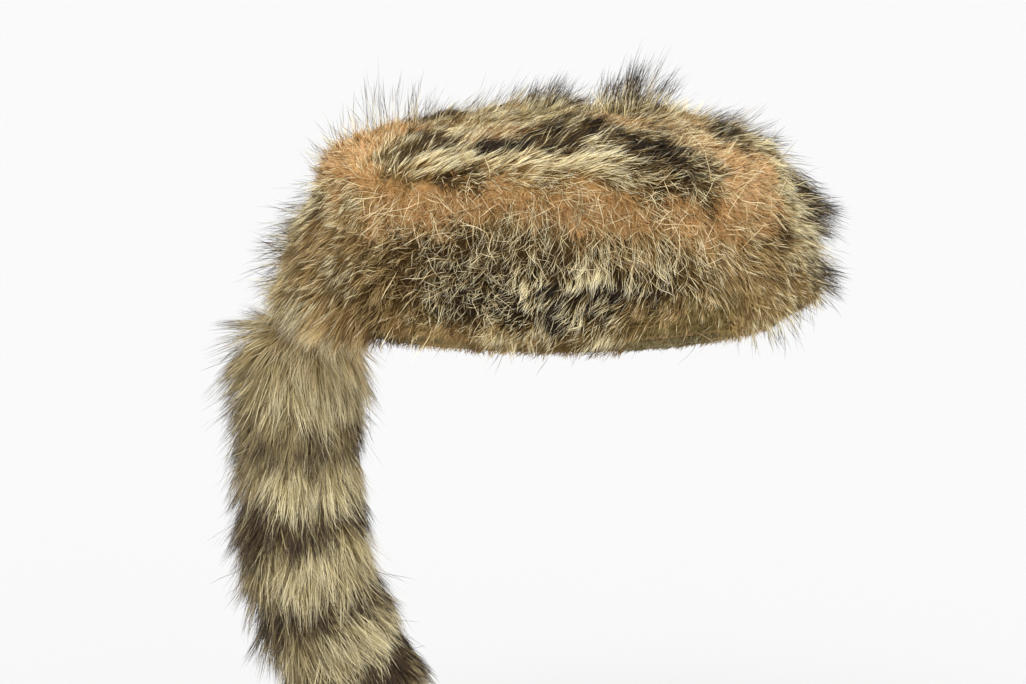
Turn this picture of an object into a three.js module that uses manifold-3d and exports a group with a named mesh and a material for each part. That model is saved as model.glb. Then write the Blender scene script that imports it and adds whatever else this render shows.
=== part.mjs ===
// A coonskin cap: an oval side band and a domed top panel of tanned raccoon pelt, a turned-up hem round the
// rim, deep fur on both, and a ringed raccoon tail that hangs from the back of the rim on a skin tab.
// Millimetres. +Z is up, +X is the front of the cap, and the origin is the middle of the head opening,
// level with the lowest edge of the rim.
import * as THREE from "three";
import Module from "manifold-3d";

const wasm = await Module();
wasm.setup();

// Driving sizes
const headLength = 200; // the head opening, front to back
const headWidth = 168; // the head opening, side to side
const skin = 2; // thickness of the tanned pelt
const bandHeight = 64; // rim to top seam
const crownRise = 10; // how far the top panel domes above its seam
const domePower = 2.4; // a higher power makes the dome flatter in the middle and rounder at its edge
const foldHeight = 4; // the fold of the hem that shows under the fur
const hemHeight = 14; // the hem's turned-up edge, inside the band
const sideFur = 14; // depth of the dense fur on the side band
const topFur = 12; // depth of the dense fur on the top panel
const seat = 0.3; // gap between pieces that are sewn together
const sink = 3; // how deep the foot of a lock reaches into its backing
const nest = 1; // how deep the middle of a lock on the top panel or the tail lies in its backing

const tabWidth = 26; // the skin tab that carries the tail
const tabThickness = 1.8;
const tabRise = 20; // how far the tab runs up inside the rim
const tabDrop = 16; // how far the tab runs down into the tail

const tailLength = 232; // how far the shares of the tail's table reach, down its drop
const tailRootBack = 7; // how far the tail's axis lies behind the inside of the band
const tailRadius = 30; // the tail's dense fur at its root

const lockLength = 24; // a lock on the side band or the top panel
const lockWidth = 17;
const lockThickness = 6;
const tuftLength = 34; // what the tufts' reaches are shares of
const tailLockLength = 34; // a lock on the tail

// The inside of the band at each level. level is a share of bandHeight; back and front are shares of half
// of headLength, and side is a share of half of headWidth.
const bandSections = [
  { level: 0, back: 1.05, front: 0.95, side: 1 },
  { level: 0.3, back: 1.035, front: 0.965, side: 1.01 },
  { level: 0.65, back: 1, front: 0.955, side: 0.99 },
  { level: 1, back: 0.95, front: 0.895, side: 0.95 },
];

// The dense fur of the band, from its lower edge to the top seam. level is a share of bandHeight, and
// depth is a share of sideFur.
const sideFurSections = [
  { level: 0.05, depth: 0.35 },
  { level: 0.14, depth: 0.66 },
  { level: 0.32, depth: 0.86 },
  { level: 0.55, depth: 0.8 },
  { level: 0.78, depth: 0.62 },
  { level: 1, depth: 0.5 },
];

// Swells and hollows in the dense fur round the band. turn is a share of a full turn from the front
// towards the wearer's left, level is a share of bandHeight, and depth is a share of sideFur.
const sideSwells = [
  { turn: 0.03, level: 0.75, depth: 0.22, reach: 0.1 },
  { turn: 0.97, level: 0.3, depth: 0.16, reach: 0.08 },
  { turn: 0.86, level: 0.35, depth: 0.18, reach: 0.09 },
  { turn: 0.74, level: 0.7, depth: -0.22, reach: 0.13 },
  { turn: 0.66, level: 0.3, depth: 0.16, reach: 0.08 },
  { turn: 0.5, level: 0.4, depth: 0.18, reach: 0.09 },
  { turn: 0.33, level: 0.4, depth: 0.15, reach: 0.1 },
  { turn: 0.22, level: 0.7, depth: -0.2, reach: 0.12 },
  { turn: 0.12, level: 0.35, depth: 0.2, reach: 0.09 },
];

// The dense fur of the top panel from its middle outwards. out is a share of the panel's own half size,
// and depth is a share of topFur.
const topFurSections = [
  { out: 0.35, depth: 0.96 },
  { out: 0.65, depth: 0.92 },
  { out: 0.88, depth: 0.84 },
  { out: 1, depth: 0.68 },
];
const topEdgeOut = 0.8; // how far the top fur stands past the panel's edge, as a share of topFur

// Tall tufts on the top panel. forward and left are shares of the panel's half length and half width,
// reach is a share of tuftLength, and lean is how far the tuft bends forward, in degrees.
const topTufts = [
  { forward: -0.16, left: 0.62, reach: 0.7, lean: 30 },
  { forward: 0, left: 0.5, reach: 0.56, lean: 38 },
  { forward: 0.32, left: 0.55, reach: 0.86, lean: 14 },
  { forward: 0.44, left: 0.4, reach: 0.66, lean: 32 },
  { forward: 0.7, left: 0.34, reach: 0.46, lean: 56 },
  { forward: 0.84, left: -0.05, reach: 0.46, lean: 66 },
  { forward: -0.3, left: -0.45, reach: 0.55, lean: 40 },
  { forward: 0.12, left: -0.55, reach: 0.5, lean: 44 },
];

// Long tufts that stand off the band. turn and level are as above, reach is a share of tuftLength, and
// drop is how far the tuft points down, in degrees.
const sideTufts = [
  { turn: 0.985, level: 0.78, reach: 0.46, drop: -8 },
  { turn: 0.035, level: 0.7, reach: 0.42, drop: 4 },
  { turn: 0.97, level: 0.32, reach: 0.42, drop: 14 },
  { turn: 0.02, level: 0.36, reach: 0.44, drop: 10 },
  { turn: 0.48, level: 0.5, reach: 0.4, drop: -6 },
  { turn: 0.53, level: 0.62, reach: 0.34, drop: -2 },
];

// The tail's axis and fur. drop is down and sway is forward, both as shares of tailLength; backing and
// tips are the radii of the dense underfur and of the tips of the locks, as shares of tailRadius.
const tailSections = [
  { drop: 0, sway: 0, backing: 0.68, tips: 1.02 },
  { drop: 0.035, sway: -0.002, backing: 0.79, tips: 1.14 },
  { drop: 0.09, sway: -0.004, backing: 0.82, tips: 1.06 },
  { drop: 0.26, sway: -0.016, backing: 0.76, tips: 0.98 },
  { drop: 0.46, sway: -0.004, backing: 0.82, tips: 1.06 },
  { drop: 0.6, sway: 0.042, backing: 0.84, tips: 1.1 },
  { drop: 0.72, sway: 0.105, backing: 0.82, tips: 1.1 },
  { drop: 0.81, sway: 0.16, backing: 0.7, tips: 1 },
  { drop: 0.88, sway: 0.208, backing: 0.48, tips: 0.8 },
];

// How the locks are set and how much they differ. rows are rings of locks and round is the locks in a
// ring; first and last are the levels of the band's rings, and first and end are how far the tail's rings
// stay from its two ends. Each pair of the rest is the least and the most: length and width are shares of
// a lock's, and lift is how far it stands off the fur, in radians.
const sideLocks = {
  rows: 4,
  round: 20,
  first: 0.3,
  last: 0.84,
  length: [0.75, 1.15],
  width: [0.8, 1.3],
  lift: [0.24, 0.38],
};
const topLocks = { count: 44, edge: 1.02, length: [0.7, 1.1], width: [0.85, 1.35], lift: [0.5, 0.75] };
const tailLocks = {
  rows: 10,
  round: 8,
  first: 0.02,
  end: 0.03,
  length: [0.85, 1.15],
  width: [0.72, 0.92],
  lift: [0.09, 0.15],
};
const tipLocks = { count: 3, length: 0.8, thickness: 1.4, spread: 0.2 }; // the tuft at the tail's end

// The lowest locks at the back are shorter, so that they clear the tail. turn is how far from the back.
const overTail = { turn: 0.085, length: 0.55 };

// A tuft's width and thickness as shares of a lock's, and how high in the dense fur it is rooted.
const sideTuft = { width: 0.9, thickness: 1.8, rooted: 0.7 };
const topTuft = { width: 1, thickness: 1.5, rooted: 0.7 };

// How the band's fur is combed: sweep is how far it leans forward or back beside straight down, and ahead
// is how far in front of the middle the parting between the two lies, in radians.
const comb = { sweep: 0.45, ahead: 0.35 };

// The round edge of the top panel's fur: how far out and how high, as shares of its reach and of topFur.
const topShoulder = { out: 0.72, rise: 0.62 };

// How far a bent lock's tip drops back towards the fur, as a share of its length.
const bends = { cap: 0.1, tail: 0.06, tuft: 0 };

// A lock's blade: shares of its width at its foot and belly, how far along the belly is, and how much of
// its thickness stands above its middle.
const blade = { foot: 0.8, belly: 0.9, bellyAt: 0.45, above: 0.67, below: 0.33 };

// How finely the round shapes are divided
const turns = 40; // round the band and the top panel
const bandLevels = bandSections.map((s) => s.level);
const tailSides = 12;
const tailSteps = 12;

const up = new THREE.Vector3(0, 0, 1);
const forward = new THREE.Vector3(1, 0, 0);

// A value between 0 and 1 that is the same for the same whole number.
function chance(n) {
  const wave = Math.sin(n * 12.9898 + 4.137) * 43758.5453;
  return wave - Math.floor(wave);
}

// A value between the two of a pair, that is the same for the same whole number.
function between([least, most], n) {
  return least + (most - least) * chance(n);
}

// Reads one column of a table at a place along another column.
function along(table, key, at, column) {
  const last = table.length - 1;
  let i = 0;
  while (i < last - 1 && table[i + 1][key] < at) i += 1;
  const a = table[i];
  const b = table[i + 1];
  const share = THREE.MathUtils.clamp((at - a[key]) / (b[key] - a[key]), 0, 1);
  return a[column] + (b[column] - a[column]) * share;
}

function solidOf(points, triangles) {
  const vertProperties = new Float32Array(points.flatMap((p) => [p.x, p.y, p.z]));
  const triVerts = new Uint32Array(triangles.flat());
  return new wasm.Manifold(new wasm.Mesh({ numProp: 3, vertProperties, triVerts }));
}

// A closed solid through rings of points. With no centres the last ring joins the first, as in a hoop;
// with centres each end closes on a point.
function loft(rings, centres = null) {
  const sides = rings[0].length;
  const points = rings.flat();
  const triangles = [];
  const joins = centres ? rings.length - 1 : rings.length;
  for (let i = 0; i < joins; i += 1) {
    const a = i * sides;
    const b = ((i + 1) % rings.length) * sides;
    for (let j = 0; j < sides; j += 1) {
      const k = (j + 1) % sides;
      triangles.push([a + j, b + k, b + j], [a + j, a + k, b + k]);
    }
  }
  if (centres) {
    const start = points.push(centres[0]) - 1;
    const end = points.push(centres[1]) - 1;
    const b = (rings.length - 1) * sides;
    for (let j = 0; j < sides; j += 1) {
      const k = (j + 1) % sides;
      triangles.push([start, k, j], [end, b + j, b + k]);
    }
  }
  const made = solidOf(points, triangles);
  if (made.volume() > 0) return made;
  return solidOf(points, triangles.map(([a, b, c]) => [a, c, b]));
}

// A point of the band: angle runs from the front towards the wearer's left, and out is measured from
// the inside of the band.
function bandPoint(angle, level, out) {
  const reach = Math.cos(angle) > 0 ? "front" : "back";
  const halfLength = (headLength / 2) * along(bandSections, "level", level, reach);
  const halfWidth = (headWidth / 2) * along(bandSections, "level", level, "side");
  return new THREE.Vector3(
    (halfLength + out) * Math.cos(angle),
    (halfWidth + out) * Math.sin(angle),
    level * bandHeight,
  );
}

// The way straight out of the band at an angle.
function bandNormal(angle, level) {
  const step = 0.01;
  const tangent = bandPoint(angle + step, level, 0).sub(bandPoint(angle - step, level, 0));
  return tangent.cross(up).normalize();
}

function ring(placed, count = turns) {
  return Array.from({ length: count }, (_, j) => placed((j / count) * Math.PI * 2));
}

// The side band: the pelt's skin, from the fold of the hem to the top seam.
function sideBand() {
  const levels = [(foldHeight + seat) / bandHeight, ...bandLevels.slice(1)];
  const outside = levels.map((level) => ring((angle) => bandPoint(angle, level, skin)));
  const inside = [...levels].reverse().map((level) => ring((angle) => bandPoint(angle, level, 0)));
  return loft([...outside, ...inside]);
}

// The hem: the pelt's edge, folded under the rim and turned up inside the band.
function rimHem() {
  const profile = [
    { out: skin, height: foldHeight },
    { out: skin, height: foldHeight * 0.4 },
    { out: skin * 0.3, height: 0 },
    { out: -skin * 0.5, height: 0 },
    { out: -skin - seat, height: foldHeight * 0.4 },
    { out: -skin - seat, height: hemHeight },
    { out: -seat, height: hemHeight },
    { out: -seat, height: foldHeight },
  ];
  const rings = profile.map((p) => ring((angle) => bandPoint(angle, p.height / bandHeight, p.out)));
  return loft(rings);
}

// The height of the top panel's outer skin above the top seam, at a share of its half size.
function panelHeight(share) {
  return seat + skin + crownRise * (1 - share ** domePower);
}

function panelPoint(angle, share, rise, out = skin) {
  const edge = bandPoint(angle, 1, out);
  const height = bandHeight + panelHeight(share) + rise;
  return new THREE.Vector3(edge.x * share, edge.y * share, height);
}

// The top panel: an oval of skin, domed a little, whose edge sits on the band's top seam.
const panelShares = [1, 0.85, 0.6, 0.3];

function crownTop() {
  const outside = panelShares.map((s) => ring((angle) => panelPoint(angle, s, 0)));
  const inside = [...panelShares].reverse().map((s) => ring((angle) => panelPoint(angle, s, -skin, 0)));
  const middle = (rise) => new THREE.Vector3(0, 0, bandHeight + panelHeight(0) + rise);
  return loft([...inside, ...outside], [middle(-skin), middle(0)]);
}

// One lock: a ridged blade of three sides that rises from its backing, bends along the fur and ends in a tip.
function lock(root, grain, out, length, width, thickness, bend) {
  const across = new THREE.Vector3().crossVectors(grain, out).normalize();
  const raised = new THREE.Vector3().crossVectors(across, grain).normalize();
  const at = (reach, lift) => root.clone().addScaledVector(grain, length * reach).addScaledVector(out, lift);
  const section = (centre, share) => {
    const low = centre.clone().addScaledVector(raised, -thickness * blade.below);
    return [
      low.clone().addScaledVector(across, (width / 2) * share),
      centre.clone().addScaledVector(raised, thickness * share * blade.above),
      low.clone().addScaledVector(across, (-width / 2) * share),
    ];
  };
  const foot = at(0, -sink);
  const belly = at(blade.bellyAt, 0);
  const tip = at(1, -length * bend);
  return loft([section(foot, blade.foot), section(belly, blade.belly)], [foot, tip]);
}

// The depth of the band's dense fur, with its swells and hollows.
function sideDepth(angle, level) {
  const turn = angle / (Math.PI * 2);
  let share = along(sideFurSections, "level", level, "depth");
  for (const swell of sideSwells) {
    let off = Math.abs(turn - swell.turn);
    off = Math.min(off, 1 - off);
    const rise = (level - swell.level) * (bandHeight / headLength);
    share += swell.depth * Math.exp(-(off * off + rise * rise) / (swell.reach * swell.reach));
  }
  return sideFur * Math.max(share, 0.2);
}

// How the fur of the band lies: down, backwards on the back half and forwards on the front.
function sideGrain(angle, level, lift) {
  const out = bandNormal(angle, level);
  const tangent = new THREE.Vector3().crossVectors(up, out);
  const backwards = Math.sin(angle) > 0 ? 1 : -1;
  const lean = -comb.sweep * Math.cos(angle + backwards * comb.ahead) * backwards;
  const grain = up.clone().multiplyScalar(-1).addScaledVector(tangent, lean * Math.abs(Math.sin(angle)));
  return grain.normalize().multiplyScalar(Math.cos(lift)).addScaledVector(out, Math.sin(lift)).normalize();
}

// A large block that keeps what is above or below the top seam.
function halfSpace(above) {
  const size = headLength * 4;
  const box = new THREE.BoxGeometry(size, size, size);
  const height = bandHeight + (above ? seat * 0.5 + size / 2 : -seat * 0.5 - size / 2);
  box.translate(0, 0, height);
  const corners = new Map();
  const points = [];
  const place = box.getAttribute("position");
  const index = Array.from(box.getIndex().array, (i) => {
    const corner = new THREE.Vector3().fromBufferAttribute(place, i);
    const key = corner.toArray().join();
    if (!corners.has(key)) corners.set(key, points.push(corner) - 1);
    return corners.get(key);
  });
  const triangles = [];
  for (let i = 0; i < index.length; i += 3) triangles.push(index.slice(i, i + 3));
  return solidOf(points, triangles);
}

// The band's fur: a backing round the skin, with rows of locks and a few long tufts fused to it.
function sideFurSolid() {
  const top = 1 - (seat * 0.5) / bandHeight;
  const levels = [...sideFurSections.map((s) => s.level).slice(0, -1), top];
  const outside = levels.map((level) => ring((a) => bandPoint(a, level, skin + sideDepth(a, level))));
  const inner = [top, ...bandLevels.slice(1, -1).reverse(), levels[0]];
  const inside = inner.map((level) => ring((a) => bandPoint(a, level, skin + seat)));
  const parts = [loft([...outside, ...inside])];
  const { rows, round } = sideLocks;
  for (let row = 0; row < rows; row += 1) {
    for (let i = 0; i < round; i += 1) {
      const n = row * round + i;
      const turn = (i + (row % 2) * 0.5 + between([0, 0.35], n)) / round;
      const rise = (row / (rows - 1)) * (sideLocks.last - sideLocks.first) + between([0, 0.05], n + 500);
      const level = sideLocks.first + rise;
      const angle = turn * Math.PI * 2;
      const short = row === 0 && Math.abs(turn - 0.5) < overTail.turn ? overTail.length : 1;
      const length = lockLength * between(sideLocks.length, n + 900) * short;
      const root = bandPoint(angle, level, skin + sideDepth(angle, level));
      const grain = sideGrain(angle, level, between(sideLocks.lift, n + 300));
      const width = lockWidth * between(sideLocks.width, n + 700);
      parts.push(lock(root, grain, bandNormal(angle, level), length, width, lockThickness, bends.cap));
    }
  }
  for (const tuft of sideTufts) {
    const angle = tuft.turn * Math.PI * 2;
    const out = bandNormal(angle, tuft.level);
    const root = bandPoint(angle, tuft.level, skin + sideDepth(angle, tuft.level) * sideTuft.rooted);
    const drop = THREE.MathUtils.degToRad(tuft.drop);
    const grain = out.clone().multiplyScalar(Math.cos(drop)).addScaledVector(up, -Math.sin(drop));
    const width = lockWidth * sideTuft.width;
    const thickness = lockThickness * sideTuft.thickness;
    parts.push(lock(root, grain, up, tuftLength * tuft.reach, width, thickness, bends.tuft));
  }
  return wasm.Manifold.union(parts).intersect(halfSpace(false));
}

// The top panel's fur: a backing over the skin, with locks combed forwards and tall tufts fused to it.
function topFurSolid() {
  const edgeOut = skin + topFur * topEdgeOut;
  const seam = bandHeight + seat * 0.5;
  const atSeam = (out) => ring((a) => bandPoint(a, 1, out).setZ(seam));
  const over = topFurSections.map((s) => ring((a) => panelPoint(a, s.out, topFur * s.depth)));
  const shoulderOut = skin + topFur * topEdgeOut * topShoulder.out;
  const shoulder = ring((a) => bandPoint(a, 1, shoulderOut).setZ(seam + topFur * topShoulder.rise));
  const under = panelShares.map((s) => ring((a) => panelPoint(a, s, seat, skin + seat)));
  const middle = (rise) => new THREE.Vector3(0, 0, bandHeight + panelHeight(0) + rise);
  const rings = [...over, shoulder, atSeam(edgeOut), atSeam(skin + seat), ...under];
  const parts = [loft(rings, [middle(topFur), middle(seat)])];
  for (let i = 0; i < topLocks.count; i += 1) {
    // Places on a sunflower's spiral lie evenly over the panel.
    const share = Math.sqrt((i + 0.5) / topLocks.count) * topLocks.edge;
    const angle = i * Math.PI * (3 - Math.sqrt(5));
    const rise = topFur * along(topFurSections, "out", share, "depth");
    const root = panelPoint(angle, Math.min(share, 1), rise - nest);
    const outwards = bandNormal(angle, 1).multiplyScalar(share * share);
    const lift = between(topLocks.lift, i + 40) - share / 4;
    const grain = forward.clone().add(outwards).addScaledVector(up, lift).normalize();
    const width = lockWidth * between(topLocks.width, i + 80);
    const length = lockLength * between(topLocks.length, i);
    parts.push(lock(root, grain, up, length, width, lockThickness, bends.cap));
  }
  for (const tuft of topTufts) {
    const panel = bandPoint(tuft.forward > 0 ? 0 : Math.PI, 1, 0);
    const side = bandPoint(Math.PI / 2, 1, 0);
    const share = Math.hypot(tuft.forward, tuft.left);
    const height = bandHeight + panelHeight(share) + topFur * topTuft.rooted;
    const root = new THREE.Vector3(Math.abs(panel.x) * tuft.forward, side.y * tuft.left, height);
    const lean = THREE.MathUtils.degToRad(tuft.lean);
    const grain = new THREE.Vector3(Math.sin(lean), 0, Math.cos(lean));
    const width = lockWidth * topTuft.width;
    const thickness = lockThickness * topTuft.thickness;
    parts.push(lock(root, grain, forward, tuftLength * tuft.reach, width, thickness, bends.tuft));
  }
  return wasm.Manifold.union(parts).intersect(halfSpace(true));
}

// The tab: a strip of skin that is stitched inside the rim at the back and runs down into the tail. grow
// is the clearance round it, for the slot in the tail.
function tailTab(grow = 0) {
  const inside = -skin - seat * 2;
  const halfTurn = (tabWidth / 2 + grow) / bandPoint(Math.PI / 2, 0, 0).y;
  const angles = [-1, -0.33, 0.33, 1].map((s) => Math.PI + s * halfTurn);
  const top = tabRise + grow;
  const low = -tabDrop - grow;
  const columns = angles.map((angle) => {
    const near = bandPoint(angle, 0, inside + grow);
    const far = bandPoint(angle, 0, inside - tabThickness - grow);
    const nearTop = bandPoint(angle, top / bandHeight, inside + grow).setZ(top);
    const farTop = bandPoint(angle, top / bandHeight, inside - tabThickness - grow).setZ(top);
    return [near.clone().setZ(low), near, nearTop, farTop, far, far.clone().setZ(low)];
  });
  const middleOf = (points) => {
    const sum = points.reduce((total, p) => total.add(p), new THREE.Vector3());
    return sum.divideScalar(points.length);
  };
  return loft(columns, [middleOf(columns[0]), middleOf(columns[columns.length - 1])]);
}

const tailTop = new THREE.Vector3(bandPoint(Math.PI, 0, tailRootBack).x, 0, -seat);

// The tail's axis, as a smooth curve through its table.
const tailAxis = new THREE.CatmullRomCurve3(
  tailSections.map((s) =>
    tailTop.clone().add(new THREE.Vector3(s.sway * tailLength, 0, -s.drop * tailLength)),
  ),
);

function tailColumn(t, column) {
  const drop = (tailTop.z - tailAxis.getPointAt(t).z) / tailLength;
  return tailRadius * along(tailSections, "drop", drop, column);
}

// A point of the tail at a share of its axis, and the way out of the axis there.
function tailPoint(t, angle, radius) {
  const tangent = tailAxis.getTangentAt(t);
  const left = new THREE.Vector3(0, 1, 0);
  const ahead = new THREE.Vector3().crossVectors(left, tangent).normalize();
  const out = ahead.multiplyScalar(Math.cos(angle)).addScaledVector(left, Math.sin(angle));
  return { point: tailAxis.getPointAt(t).addScaledVector(out, radius), out, tangent };
}

// The tail: a core of underfur with rows of locks that lie downwards and spread, fused to it.
function tail() {
  const places = Array.from({ length: tailSteps }, (_, i) => (i + 1) / tailSteps);
  const shoulder = tailSections[1].drop;
  const rings = [0, shoulder, ...places].map((t) =>
    ring((a) => tailPoint(t, a, tailColumn(t, "backing")).point, tailSides),
  );
  // The top is level, just under the hem.
  rings[0].forEach((p) => p.setZ(tailTop.z));
  const end = tailPoint(1, 0, 0);
  const tip = end.point.clone().addScaledVector(end.tangent, tailColumn(1, "backing"));
  const parts = [loft(rings, [tailTop.clone(), tip])];
  const { rows, round } = tailLocks;
  for (let row = 0; row < rows; row += 1) {
    const t = tailLocks.first + (row / (rows - 1)) * (1 - tailLocks.end - tailLocks.first);
    for (let i = 0; i < round; i += 1) {
      const n = row * round + i;
      const angle = ((i + (row % 2) * 0.5 + between([0, 0.3], n + 60)) / round) * Math.PI * 2;
      const backing = tailColumn(t, "backing");
      const place = tailPoint(t, angle, backing - nest);
      const length = tailLockLength * between(tailLocks.length, n + 20);
      const spread = (tailColumn(t, "tips") - backing) / length + between(tailLocks.lift, n + 10);
      const grain = place.tangent.clone().addScaledVector(place.out, spread).normalize();
      const width = ((Math.PI * 2 * tailRadius) / round) * between(tailLocks.width, n + 30);
      parts.push(lock(place.point, grain, place.out, length, width, lockThickness, bends.tail));
    }
  }
  for (let i = 0; i < tipLocks.count; i += 1) {
    const place = tailPoint(1, (i / tipLocks.count) * Math.PI * 2, sink);
    const grain = place.tangent.clone().addScaledVector(place.out, tipLocks.spread).normalize();
    const length = tailLockLength * tipLocks.length;
    const thickness = lockThickness * tipLocks.thickness;
    parts.push(lock(place.point, grain, place.out, length, lockWidth, thickness, bends.tuft));
  }
  return wasm.Manifold.union(parts).subtract(tailTab(seat));
}

function meshOf(name, solid, colour, roughness) {
  const made = solid.getMesh();
  const geometry = new THREE.BufferGeometry();
  geometry.setAttribute("position", new THREE.BufferAttribute(new Float32Array(made.vertProperties), 3));
  geometry.setIndex(new THREE.BufferAttribute(new Uint32Array(made.triVerts), 1));
  geometry.computeVertexNormals();
  const material = new THREE.MeshStandardMaterial({ color: colour, roughness, metalness: 0 });
  const mesh = new THREE.Mesh(geometry, material);
  mesh.name = name;
  return mesh;
}

const cap = new THREE.Group();
cap.add(meshOf("side_band", sideBand(), 0xb89468, 0.8));
cap.add(meshOf("crown_top", crownTop(), 0xb89468, 0.8));
cap.add(meshOf("rim_hem", rimHem(), 0x8a744c, 0.75));
cap.add(meshOf("side_fur", sideFurSolid(), 0x7d6443, 0.9));
cap.add(meshOf("top_fur", topFurSolid(), 0x95784e, 0.9));
cap.add(meshOf("tail_tab", tailTab(), 0xb89468, 0.8));
cap.add(meshOf("tail", tail(), 0x8d7a55, 0.9));

export default cap;
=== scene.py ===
# %% [markdown]
# A coonskin cap, from the pelt outwards.
#
# The real cap is a raccoon pelt: a thin sheet of tanned skin, a dense woolly underfur that is tan or
# brown, and long guard hairs above it that are tan at the root, cream in the middle and dark at the tip.
# What the eye reads as one brown colour is thousands of such hairs lying over each other, so this lesson
# builds them as real shapes and gives each one its own colours along its length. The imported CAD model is
# the frame: it fixes the size and place of every piece, and the fur grows on its forms.

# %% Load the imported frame
import math

import bmesh
import bpy
import numpy as np
from mathutils import Matrix, Vector
from mathutils.bvhtree import BVHTree
from mathutils.kdtree import KDTree


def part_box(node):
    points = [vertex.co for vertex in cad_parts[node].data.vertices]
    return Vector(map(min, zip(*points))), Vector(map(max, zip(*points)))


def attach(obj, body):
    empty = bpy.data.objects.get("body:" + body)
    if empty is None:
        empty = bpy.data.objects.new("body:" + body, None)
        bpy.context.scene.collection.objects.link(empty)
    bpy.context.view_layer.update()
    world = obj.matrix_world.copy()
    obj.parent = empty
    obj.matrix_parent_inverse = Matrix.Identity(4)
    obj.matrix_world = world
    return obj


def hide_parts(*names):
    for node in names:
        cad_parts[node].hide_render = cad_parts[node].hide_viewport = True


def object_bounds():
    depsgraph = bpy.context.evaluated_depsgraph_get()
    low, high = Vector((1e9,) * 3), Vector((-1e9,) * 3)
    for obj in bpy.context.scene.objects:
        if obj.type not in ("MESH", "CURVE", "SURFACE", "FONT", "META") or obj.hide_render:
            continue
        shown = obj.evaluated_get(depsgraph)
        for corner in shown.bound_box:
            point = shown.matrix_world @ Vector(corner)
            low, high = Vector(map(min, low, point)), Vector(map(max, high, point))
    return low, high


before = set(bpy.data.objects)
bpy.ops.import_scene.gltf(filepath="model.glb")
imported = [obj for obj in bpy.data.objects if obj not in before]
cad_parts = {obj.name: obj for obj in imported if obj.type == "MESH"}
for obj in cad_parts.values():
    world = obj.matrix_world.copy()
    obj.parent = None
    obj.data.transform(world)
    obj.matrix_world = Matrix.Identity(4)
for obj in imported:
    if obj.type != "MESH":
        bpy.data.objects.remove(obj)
cad_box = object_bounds()
MM = 0.001
print("CAD box, mm:", [[round(v * 1000, 1) for v in corner] for corner in cad_box])

# %% [markdown]
# The photograph looks at the cap's right side from about a hand's height above it, through a long lens,
# so the camera stands far off and its lens is long. The lens comes from two sizes: the picture is 1026
# pixels wide, and a pixel is 0.44 mm at the cap.

# %% Camera at the photograph's angle
PICTURE = (1026, 684)
MM_PER_PIXEL = 0.44
AIM = Vector((-20.7, 0, -13.5)) * MM
DISTANCE = 1.6
ELEVATION = math.radians(12)
SENSOR_WIDTH = 36  # mm

camera_data = bpy.data.cameras.new("studio_camera")
camera_data.sensor_width = SENSOR_WIDTH
camera_data.lens = SENSOR_WIDTH * DISTANCE / (PICTURE[0] * MM_PER_PIXEL * MM)
camera = bpy.data.objects.new("studio_camera", camera_data)
bpy.context.collection.objects.link(camera)
backwards = Vector((0, -math.cos(ELEVATION), math.sin(ELEVATION)))
upwards = Vector((0, math.sin(ELEVATION), math.cos(ELEVATION)))
rightwards = Vector((1, 0, 0))
camera.matrix_world = Matrix.Translation(AIM + backwards * DISTANCE) @ Matrix(
    (rightwards, upwards, backwards)
).transposed().to_4x4()
bpy.context.scene.camera = camera
print("lens, mm:", round(camera_data.lens, 1))


def sight_line(across, down):
    """The way from the camera through a pixel of the 1026 by 684 picture."""
    side = (across - PICTURE[0] / 2) * MM_PER_PIXEL * MM
    rise = (PICTURE[1] / 2 - down) * MM_PER_PIXEL * MM
    turned = camera.matrix_world.to_3x3()
    return (turned @ Vector((side, rise, -DISTANCE))).normalized()


# %% [markdown]
# Product photographers light fur with large soft lamps, so that every hair catches a little light and
# no hard shadow hides the layers below. A pale even surround does most of the work here, a large lamp
# above gives the fur its form, and the floor and the surround are the same near white.

# %% Floor and soft studio light
FLOOR = cad_box[0][2] - 40 * MM

world = bpy.data.worlds.new("pale_surround")
bpy.context.scene.world = world
world.use_nodes = True
world.node_tree.nodes["Background"].inputs["Color"].default_value = (1, 1, 1, 1)
world.node_tree.nodes["Background"].inputs["Strength"].default_value = 0.8
bpy.context.scene.view_settings.view_transform = "Standard"


def soft_lamp(name, place, breadth, strength):
    """A far lamp, so that the floor is lit evenly, with the breadth of a large softbox in degrees."""
    lamp = bpy.data.lights.new(name, "SUN")
    lamp.angle, lamp.energy = math.radians(breadth), strength
    held = bpy.data.objects.new(name, lamp)
    held.location = place
    held.rotation_euler = (-Vector(place)).to_track_quat("-Z", "Y").to_euler()
    bpy.context.collection.objects.link(held)


soft_lamp("top_lamp", (-0.3, -0.8, 1.8), 50, 1.9)
soft_lamp("front_lamp", (1.2, -1.2, 0.7), 60, 0.35)


def link_mesh(name, mesh, *materials):
    piece = bpy.data.objects.new(name, mesh)
    bpy.context.collection.objects.link(piece)
    for material in materials:
        mesh.materials.append(material)
    return piece


FLOOR_REACH = 20  # metres each way, so that its edge is never in sight
floor_corners = [(x * FLOOR_REACH, y * FLOOR_REACH, FLOOR) for x, y in ((-1, -1), (1, -1), (1, 1), (-1, 1))]
floor_mesh = bpy.data.meshes.new("studio_floor")
floor_mesh.from_pydata(floor_corners, [], [(0, 1, 2, 3)])
studio_floor = link_mesh("studio_floor", floor_mesh)
print("floor level, mm:", round(FLOOR * 1000))

# %% [markdown]
# Two helpers carry all the materials. The first turns a colour as it is read off a screen into the linear
# numbers that the shader counts in. The second adds one node, sets it and links it, so that each material
# below reads as a list of what the surface is. The floor is matt white paper from a roll.

# %% Colours and nodes


def linear(hex_colour):
    parts = [int(hex_colour[i : i + 2], 16) / 255 for i in (1, 3, 5)]
    return (*[p / 12.92 if p <= 0.04045 else ((p + 0.055) / 1.055) ** 2.4 for p in parts], 1.0)


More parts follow.
